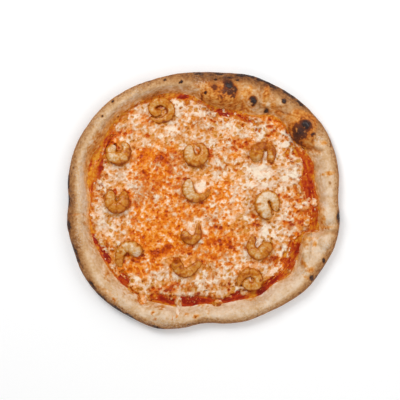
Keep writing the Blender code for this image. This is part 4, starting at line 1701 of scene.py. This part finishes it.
HUES = patches(
    (-50, -42, 40, 34, 0, -0.48), (20, 0, 26, 24, 0, -0.24), (-48, 18, 34, 34, 0, -0.1),
    (-55, 36, 22, 16, -20, -0.3), (88, 36, 26, 30, 0, 0.2), (6, -58, 34, 16, 0, -0.16),
    (22, -20, 24, 26, 0, -0.08), (-106, 0, 16, 60, 0, 0.16), (-6, -98, 80, 18, 0, 0.34),
    (-20, 94, 60, 18, 0, 0.26), (88, -40, 26, 26, 0, 0.12),
)
REDS = patches(
    (-61.5, 71, 3, 2.2, 0, 0.5), (-35, 63.5, 2.2, 1.6, 0, 0.42), (-5, 67, 2.2, 1.8, 0, 0.34),
    (-80, 97, 4, 2, 20, 0.34), (-73, 96, 1.8, 1.5, 0, 0.3), (-103, 66, 5, 5, 30, 0.26),
    (-112, 37, 3, 4, 0, 0.34), (-46, 46, 8, 5, 10, 0.34), (-38, 42, 10, 4, -20, 0.22),
    (38, 64, 10, 3, 10, 0.3), (46, 64, 3, 5, 20, 0.34), (42, 59.5, 3, 2.2, 0, 0.5),
    (33, 57, 6, 2, -20, 0.22), (7, 54, 3, 4, 0, 0.44), (9, 48, 5, 1.8, -10, 0.26),
    (18.5, 46, 2, 1.8, 0, 0.3), (16, 36, 8, 2, -20, 0.28), (12, 88.5, 5, 2.4, 0, 0.4),
    (72, 81, 3.4, 2, 0, 0.4), (82, 87.5, 4, 1.8, 0, 0.44), (72, 89.5, 2, 2, 0, 0.44),
    (92, 4.5, 5, 2, 0, 0.4), (83, 5, 4, 1.8, 30, 0.3), (105, 0, 3.4, 2.8, 0, 0.36),
    (18, -31, 6, 3, -40, 0.44), (12, -22, 2.6, 2.2, 0, 0.28), (39, -33, 4, 1.8, 20, 0.3),
    (55, -17.5, 4, 3, 0, 0.44), (57, -25, 5, 3.4, 10, 0.3), (95, -13, 3, 3.6, 0, 0.28),
    (98, -25.5, 6, 2.8, 0, 0.34), (103, -34, 3, 4, 0, 0.26), (28.5, -8.5, 1.8, 1.6, 0, 0.34),
    (17.8, 0, 1.8, 1.6, 0, 0.3), (91, -36, 1.9, 1.5, 0, 0.55), (78, -62, 5, 1.8, 10, 0.34),
    (94, -70, 6, 3, 10, 0.24), (30, -51, 6, 3.4, -30, 0.34), (17, -46, 4.4, 3, 0, 0.32),
    (-50, -56, 8, 3, 10, 0.42), (-52, -60, 5, 2.4, -20, 0.38), (-38, -51, 6, 3, 0, 0.4),
    (-17, -57, 6, 3, 0, 0.34), (-83.8, -59.6, 4, 2.4, -40, 0.7), (-77, -65, 4, 1.8, -30, 0.5),
    (-96, -36, 2, 1.6, 0, 0.3), (-98, 29, 2, 1.4, 0, 0.3), (-106, 25, 1.8, 1.8, 0, 0.34),
    (-78, 25, 2.2, 1.6, 60, 0.26), (-68, 49, 1.9, 1.8, 0, 0.36), (-28, 24.5, 2, 1.6, 0, 0.36),
    (-42, 8, 1.9, 1.6, 0, 0.26), (-70, 27, 2, 2.2, 0, 0.16), (-33, -90, 3, 3, 0, 0.4),
    (-28, -92, 2, 1.8, 0, 0.44), (-68.5, -84, 1.6, 1.8, 0, 0.34), (28, -94, 1.6, 6, 0, 0.44),
    (16, -92, 1.8, 1.5, 0, 0.3), (23, -94.5, 2.2, 1.6, 0, 0.22), (97, 35, 3, 2, -20, 0.3),
    (106, 36, 1.6, 2.2, 0, 0.3), (97, 24, 2.6, 2, 0, 0.34), (28, 16, 2.4, 2.4, 0, 0.24),
    (17, 22, 2, 1.8, 0, 0.24), (35, 33, 2, 1.6, 20, 0.3), (24.5, 36.5, 1.4, 1.4, 0, 0.34),
    (-40, 99.5, 1.4, 2, 0, 0.9), (-52, 93, 6, 1.2, 8, 0.6), (-41, 94, 1.6, 4, -40, 0.5),
    (-98, 53.5, 2.6, 1.9, 0, 0.4), (-93, 57, 1.4, 2.6, 30, 0.34), (-6, 54, 1.8, 4.6, 35, 0.5),
    (-47.4, 103, 4.5, 1.8, 0, 0.5), (-96.5, 9.5, 2.2, 3.2, 10, 0.8), (-92, 3, 2, 2.2, 0, 0.6),
    (51.8, -90.6, 1.2, 1.2, 0, 0.9), (72, -14, 1, 8, -14, 0.5),
)
LUMPS = patches(
    (17, -95, 13, 12.5, 0, 2.2), (-12, 97, 14, 12, 20, 1.5), (28, -14, 14, 10, 20, 1.2),
    (-4, 17, 9, 7, 0, 1.4), (-62, 22, 18, 14, 0, 0.8), (40, 80, 18, 12, 0, 0.8),
    (-112, -12, 12, 12, 0, 1.2), (88, 40, 16, 16, 0, 0.8), (-74, -91, 11, 8, -20, 1.2),
    (-50, -36, 16, 12, 0, 0.7), (-38, -78, 6, 14, 0, 1.2), (57, -72, 11, 6, -20, 1.2),
    (64, -36, 9, 6, 0, 1), (-14, -29, 7, 8, 0, 1.2), (-30, 100, 5, 13, 0, 1.2), (-95, 33, 13, 6, 0, 0.9),
    (-85, 65, 9, 3, -24, 0.9),
)


@dataclass
class Sauce:
    """Thin tomato sauce over the bed, wetting the foot of the rim."""

    crust: Crust
    level: float = 5.4
    low: float = 4.35
    reach: float = 7.5
    film: float = 0.45
    count: int = 250
    seed: int = 41
    streak_radius: float = 24.0
    streak_size: float = 2.6
    mean_tone: float = 0.62

    def build(self, shelf: EffectShelf) -> Piece:
        """Build and dress the sauce.

        Args:
            shelf: the shared effects.

        Returns:
            The sauce.
        """
        grid = disc_grid(self.count)
        theta = np.arctan2(grid[0][:, 1], grid[0][:, 0])
        out = self.crust.foot(theta) + self.reach
        x, y = (grid[0] * out[:, None]).T
        grain = Grain(self.seed)
        broad = grain.flat(x, y, 16.0, 2)
        mid = grain.flat(x, y, 5.0, 3)
        fine = grain.flat(x + 60.0, y, 2.2, 2)
        top = self.level + 0.25 * broad + 0.55 * mid + 0.30 * fine
        up = np.hypot(x, y) - self.crust.foot(theta)
        wander = 1.8 + 2.4 * grain.flat(x + 30.0, y, 14.0, 2) + 3.0 * mid + 1.6 * fine
        wet = smooth(-0.8, 0.8, np.minimum(wander, self.reach - 1.5) - up)
        wall = self.crust.top(x, y) + self.film * (2.0 * wet - 1.0) - 1.2 * (1.0 - wet)
        top = np.where(up > -1.0, np.maximum(np.minimum(top, wall + 2.0), wall), top)
        piece = layer_piece("sauce_layer", x, y, top, self.low, grid)
        tone = self.mean_tone + 0.20 * broad + 0.40 * mid + 0.24 * fine + 0.05 * np.clip(up, 0.0, 4.0)
        tone += 0.44 * grain.layers(drawn_out(x, y, self.streak_radius), self.streak_size, 2)
        tone -= 0.74 * lay(DEEP_SAUCE, x + 2.0 * mid, y + 2.0 * fine, 0.5)
        tone = np.clip(tone, 0.0, 1.0)
        extra = len(piece.data.vertices) - len(tone)
        keep_values(piece, tone=np.concatenate([tone, np.zeros(extra)]))
        piece.data.materials.append(SauceFinish().material(shelf))
        return piece


@dataclass(frozen=True)
class CheesePlan:
    """What lies where in the cheese: noise, distances and shares, one to each point."""

    x: Array
    y: Array
    broad: Array
    mid: Array
    blob: Array
    warp: Array
    fine: Array
    shred: Array
    tint: Array
    fine_tint: Array
    depth: Array
    pit: Array
    halo: Array
    curd_and_glint: Array
    prick: Array
    shrimp_gap: Array
    shade_side: Array
    oil: Array
    cream: Array
    red: Array
    lump: Array


@dataclass
class Cheese:
    """Melted cheese with a wandering edge, oily pits, holes and drips."""

    crust: Crust
    edge_knots: tuple[float, ...] = (
        115, 108, 118, 117.5, 121, 119.5, 105.5, 102.5, 98, 105.5, 115, 119.5, 125.5, 128.5, 126, 120, 118,
        118, 122, 126, 125, 124, 127, 126, 125, 113, 108, 106, 110, 107, 112, 114, 119, 110, 113, 121,
    )
    ground: float = 5.6
    thickness: float = 2.2
    low: float = 4.6
    margin: float = 6.0
    count: int = 300
    pit_depth: float = 0.9
    fringe: float = 6.5
    sunk: float = 0.9
    seed: int = 53
    strand_seed: int = 87
    strand_radius: float = 20.0
    strand_size: float = 3.4
    pits: SpotSet = (61, 6.0, 0.6, 2.1, 0.92)
    pricks: SpotSet = (67, 3.3, 0.2, 0.8, 0.7)
    curds: SpotSet = (71, 4.8, 0.6, 2.2, 0.8)
    bits: SpotSet = (75, 5.2, 0.5, 2.2, 0.62)
    gaps: SpotSet = (77, 6.0, 0.5, 2.2, 0.50)
    shrimp_reach: float = 28.0
    mean_tone: float = 0.68
    pit_tone: float = 0.34
    strand_share: tuple[float, ...] = (0.5, 0.1, 0.0, 0.1, 0.4, 0.9, 0.7, 0.4, 0.4, 0.3, 0.4, 0.5)

    def limit(self, theta: Array) -> Array:
        """Radius that the mesh reaches, further out where cheese spills on the rim.

        Args:
            theta: angles.

        Returns:
            Radii.
        """
        out = self.crust.foot(theta) + self.margin
        for spill in SPILLS:
            far = math.hypot(spill.x, spill.y) + max(spill.long, spill.wide) + 1.5
            turn = np.angle(np.exp(1j * (theta - math.atan2(spill.y, spill.x))))
            bulge = (far - out) * np.exp(-((turn / 0.085) ** 2))
            out = np.maximum(out, out + bulge)
        return out

    def inside(self, x: Array, y: Array, warp: Array) -> Array:
        """Distance in from the cheese's border, negative outside it.

        Args:
            x: places along X.
            y: places along Y.
            warp: unevenness of the border.

        Returns:
            Distances.
        """
        depth = around(self.edge_knots, np.arctan2(y, x)) - np.hypot(x, y) + 3.2 * warp
        for window in WINDOWS:
            size = min(window.long, window.wide)
            depth = np.minimum(depth, (window.reach(x, y) - window.weight) * size + 2.0 * warp)
        bits, _ = Spots(*self.bits).gap(x + 2.4 * warp, y - 2.4 * warp)
        gaps, _ = Spots(*self.gaps).gap(x - 2.4 * warp, y + 2.4 * warp)
        depth = np.maximum(depth, np.minimum(-1.2 * bits, depth + self.fringe))
        depth = np.minimum(depth, np.maximum(1.2 * gaps, depth - self.fringe))
        theta = np.arctan2(y, x)
        free = np.minimum(depth + 13.0, self.crust.foot(theta) - 1.5 - np.hypot(x, y))
        strand = 2.4 * around(self.strand_share, theta) - 9.0 * np.abs(self.strands(x, y))
        depth = np.maximum(depth, np.minimum(np.minimum(strand, free), 0.8))
        for spill in SPILLS:
            size = min(spill.long, spill.wide)
            depth = np.maximum(depth, (1.0 - spill.reach(x, y)) * size + 0.8 * warp)
        return depth

    def strands(self, x: Array, y: Array) -> Array:
        """Unevenness drawn out along the rim.

        Args:
            x: places along X.
            y: places along Y.

        Returns:
            Values of about -0.5 to 0.5.
        """
        grain = Grain(self.strand_seed)
        long = grain.layers(drawn_out(x, y, self.strand_radius), self.strand_size, 2)
        return long + 0.5 * np.maximum(grain.flat(x, y, 11.0, 2), 0.0) + 0.10

    def around_shrimps(self, x: Array, y: Array) -> tuple[Array, Array]:
        """Distance to the nearest shrimp and how much its far side is in shade.

        Args:
            x: places along X.
            y: places along Y.

        Returns:
            Distances, and shares of 0 to 1 that grow towards +X and -Y.
        """
        nearest = np.full_like(x, 99.0)
        shade_side = np.full_like(x, 0.5)
        for shrimp in SHRIMPS:
            mx, my = shrimp.centre()
            near = np.hypot(x - mx, y - my) < self.shrimp_reach
            gap = shrimp.gap(x[near], y[near])
            side = np.arctan2(y[near] - my, x[near] - mx)
            closer = gap < nearest[near]
            shade_side[near] = np.where(closer, 0.5 + 0.5 * np.cos(side + math.pi / 3.0), shade_side[near])
            nearest[near] = np.where(closer, gap, nearest[near])
        return nearest, shade_side

    def survey(self, x: Array, y: Array) -> CheesePlan:
        """Work out what lies where.

        Args:
            x: places along X.
            y: places along Y.

        Returns:
            The plan.
        """
        grain = Grain(self.seed)
        broad = grain.flat(x, y, 26.0, 2)
        mid = grain.flat(x + 20.0, y, 9.0, 2)
        warp = grain.flat(x, y + 90.0, 6.0, 3)
        fine = grain.flat(x + 70.0, y, 3.4, 2, 0.6)
        shred = 1.0 - np.abs(grain.flat(x - 40.0 + 1.6 * warp, y + 1.6 * fine, 6.0, 2, 0.6)) * 5.0
        depth = self.inside(x, y, warp)
        gap, value = Spots(*self.pits).gap(x + 2.2 * warp + 1.2 * fine, y + 2.2 * mid + 1.0 * fine)
        curd_gap, curd_value = Spots(*self.curds).gap(x + 2.6 * warp - fine, y - 2.6 * warp + 1.4 * fine)
        tiny, small_value = Spots(*self.pricks).gap(x + 1.2 * fine, y + 1.2 * warp)
        shrimp_gap, shade_side = self.around_shrimps(x, y)
        cream = lay(CREAMS, x + 2.2 * warp, y + 2.2 * fine, 0.55)
        pit = smooth(0.5, -0.35, gap) * (0.60 + 0.40 * value)
        return CheesePlan(
            x=x,
            y=y,
            broad=broad,
            mid=mid,
            blob=np.tanh(2.6 * mid),
            warp=warp,
            fine=fine,
            shred=np.clip(shred, -1.0, 1.0),
            tint=grain.flat(x + 140.0, y, 12.0, 3),
            fine_tint=grain.flat(x, y + 200.0, 3.4, 2, 0.6),
            depth=depth,
            pit=pit * (1.0 - 0.75 * smooth(0.24, 0.44, cream)),
            halo=smooth(2.4, 0.0, gap),
            curd_and_glint=smooth(0.6, -0.5, curd_gap) * (0.3 + 0.7 * curd_value),
            prick=smooth(0.4, -0.3, tiny) * (0.3 + 0.7 * small_value),
            shrimp_gap=shrimp_gap,
            shade_side=shade_side,
            oil=lay(OILS, x + 3.0 * warp, y + 3.0 * mid, 0.6),
            cream=cream,
            red=strongest(REDS, x + 1.4 * warp, y + 1.4 * fine, 0.5),
            lump=strongest(LUMPS, x + warp, y + mid, 0.8),
        )

    def height(self, plan: CheesePlan) -> Array:
        """Height of the upper side, over the bed or over the rim where cheese spills on it.

        Args:
            plan: what lies where.

        Returns:
            Heights.
        """
        relief = 0.30 * plan.broad + 0.30 * plan.blob + 0.35 * plan.fine + 0.30 * plan.shred
        relief += 0.40 * plan.curd_and_glint
        relief -= self.pit_depth * plan.pit + 0.35 * plan.prick + 0.5 * plan.red
        relief += plan.lump + 1.6 * np.exp(-((np.maximum(plan.shrimp_gap, 0.0) / 2.2) ** 2))
        rim = self.crust.top(plan.x, plan.y)
        base = np.maximum(self.ground, rim - 0.2)
        thin = smooth(0.0, 4.0, rim - self.crust.bed)
        full = (self.thickness + relief) * (1.0 - 0.55 * thin)
        cover = smooth(0.0, 2.4, plan.depth) ** 0.55
        top = base - self.sunk + (full + self.sunk) * cover
        outside = base - self.sunk - 0.9 * np.clip(-plan.depth, 0.0, 3.0)
        return np.maximum(np.where(plan.depth < 0.0, outside, top), self.low + 0.2)

    def tones(self, plan: CheesePlan) -> tuple[Array, Array, Array]:
        """Work out how pale, how rosy and how golden the cheese is.

        Args:
            plan: what lies where.

        Returns:
            The three shares.
        """
        milky = smooth(0.04, 0.22, plan.cream)
        calm = 1.0 - 0.5 * milky
        # Curd spots lift the tone to white: partly real curds, partly painted glints.
        tone = self.mean_tone + 0.16 * plan.broad + 0.17 * plan.blob + 0.35 * plan.curd_and_glint
        tone += calm * (0.20 * plan.fine + 0.18 * np.maximum(plan.shred, -0.4))
        tone += 0.62 * plan.cream - 0.40 * plan.oil
        tone -= 0.06 * plan.halo
        tone -= 0.14 * smooth(3.6, 0.0, plan.depth) * (0.8 + 1.2 * plan.warp)
        tone += (self.pit_tone - tone) * np.clip(plan.pit, 0.0, 1.0)
        tone -= 0.20 * plan.prick
        tone -= 0.85 * plan.red
        # Darker ring round each shrimp: partly oil, partly painted shade, more so on the side away from the
        # key light.
        oil_and_shade_ring = np.exp(-(((plan.shrimp_gap - 0.2) / 1.2) ** 2))
        tone -= oil_and_shade_ring * (0.14 + 0.20 * plan.shade_side) * (0.8 + 0.6 * plan.warp)
        tone -= 0.4 * smooth(-0.8, -2.4, plan.shrimp_gap)
        tone -= 0.06 * smooth(1.6, 0.2, plan.depth)
        border = smooth(10.0, 2.0, plan.depth) * smooth(-70.0, -92.0, plan.y)
        tone -= 0.16 * border * (1.0 + 1.5 * plan.warp)
        tone = np.clip(tone, 0.10, 1.0)
        hue = 0.5 + lay(HUES, plan.x, plan.y, 0.6) + 1.1 * plan.tint + 0.10 * milky
        hue += 1.1 * (tone - self.mean_tone) * (1.0 - 0.8 * milky) + 0.5 * plan.fine_tint
        hue = np.clip(hue - 0.25 * plan.pit, 0.0, 1.0)
        plain = 1.0 - smooth(0.02, 0.16, plan.oil)
        gold = plain * (0.65 + 0.9 * plan.mid) * np.clip(1.0 - 3.0 * plan.red, 0.0, 1.0)
        return tone, hue, np.clip(gold, 0.0, 0.9) * smooth(0.0, 2.5, plan.depth)

    def build(self, shelf: EffectShelf) -> Piece:
        """Build and dress the cheese.

        Args:
            shelf: the shared effects.

        Returns:
            The cheese.
        """
        grid = disc_grid(self.count)
        theta = np.arctan2(grid[0][:, 1], grid[0][:, 0])
        x, y = (grid[0] * self.limit(theta)[:, None]).T
        plan = self.survey(x, y)
        piece = layer_piece("cheese_layer", x, y, self.height(plan), self.low, grid)
        extra = np.full(len(piece.data.vertices) - len(x), 0.5)
        tone, hue, gold = (np.concatenate([row, extra]) for row in self.tones(plan))
        keep_values(piece, tone=tone, hue=hue, gold=gold)
        piece.data.materials.append(CheeseFinish().material(shelf))
        return piece


# ---------------------------------------------------------------------------------------
# Studio
# ---------------------------------------------------------------------------------------
@dataclass
class Studio:
    """Pale floor, soft light and the camera looking straight down."""

    floor_size: float = 6.0
    camera_height: float = 1.30
    lens_height: float = 0.0064
    view_width: float = 0.43956
    sensor: float = 36.0
    camera_x: float = -0.00385
    camera_y: float = 0.00055
    world_strength: float = 0.29
    lights: tuple[tuple[str, float, float, tuple[float, float, float]], ...] = (
        ("key_light", 10.4, 0.60, (-0.55, 0.75, 1.05)),
        ("right_light", 4.8, 0.90, (1.10, 0.10, 0.90)),
        ("low_light", 4.8, 0.90, (0.10, -1.10, 0.90)),
        ("far_light", 3.2, 0.90, (0.60, 0.90, 0.95)),
    )

    def add_floor(self) -> None:
        """Lay the floor."""
        half = self.floor_size / 2.0
        corners = [(-half, -half, 0.0), (half, -half, 0.0), (half, half, 0.0), (-half, half, 0.0)]
        mesh = bpy.data.meshes.new("studio_floor")
        mesh.from_pydata(corners, [], [(0, 1, 2, 3)])
        floor = bpy.data.objects.new("studio_floor", mesh)
        bpy.context.collection.objects.link(floor)
        floor.data.materials.append(FloorFinish().material())

    def add_light(self, name: str, power: float, size: float, place: Sequence[float]) -> None:
        """Hang one square soft light aimed at the pizza.

        Args:
            name: name of the light.
            power: its power in watts.
            size: side of its square.
            place: where it hangs.
        """
        data = bpy.data.lights.new(name, "AREA")
        data.energy = power
        data.size = size
        light = bpy.data.objects.new(name, data)
        bpy.context.collection.objects.link(light)
        light.location = place
        flat = math.hypot(place[0], place[1])
        light.rotation_euler = (0.0, math.atan2(flat, place[2]), math.atan2(place[1], place[0]))

    def add_camera(self) -> None:
        """Set the camera above the pizza."""
        data = bpy.data.cameras.new("top_camera")
        data.sensor_width = self.sensor
        data.lens = self.sensor * self.camera_height / self.view_width
        camera = bpy.data.objects.new("top_camera", data)
        bpy.context.collection.objects.link(camera)
        camera.location = (self.camera_x, self.camera_y, self.camera_height + self.lens_height)
        bpy.context.scene.camera = camera

    def build(self) -> None:
        """Set up the whole studio."""
        self.add_floor()
        for light in self.lights:
            self.add_light(*light)
        world = bpy.data.worlds.new("studio_world")
        world.use_nodes = True
        world.node_tree.nodes["Background"].inputs["Color"].default_value = (1.0, 1.0, 1.0, 1.0)
        world.node_tree.nodes["Background"].inputs["Strength"].default_value = self.world_strength
        bpy.context.scene.world = world
        bpy.context.scene.view_settings.view_transform = "Standard"
        self.add_camera()


def place_piece(piece: Piece, node: str) -> None:
    """Tie a piece to the frame in place of its plain solid.

    Args:
        piece: the piece.
        node: name of the plain solid it stands for.
    """
    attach(piece, "root")
    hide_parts(node)
    LOG.info("%s: %d faces", piece.name, len(piece.data.polygons))


def main() -> None:
    """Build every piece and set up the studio."""
    logging.basicConfig(level=logging.INFO, format="%(name)s %(message)s")
    shelf = EffectShelf()
    crust = Crust()
    place_piece(crust.build(shelf), "crust")
    place_piece(Sauce(crust).build(shelf), "tomato_sauce")
    place_piece(Cheese(crust).build(shelf), "melted_cheese")
    flesh = ShrimpFinish().material(shelf)
    for index, shrimp in enumerate(SHRIMPS, start=1):
        piece = ShrimpBody(shrimp, index).build(flesh)
        place_piece(piece, f"shrimp_{index:02d}")
    Studio().build()


if __name__ == "__main__":
    main()
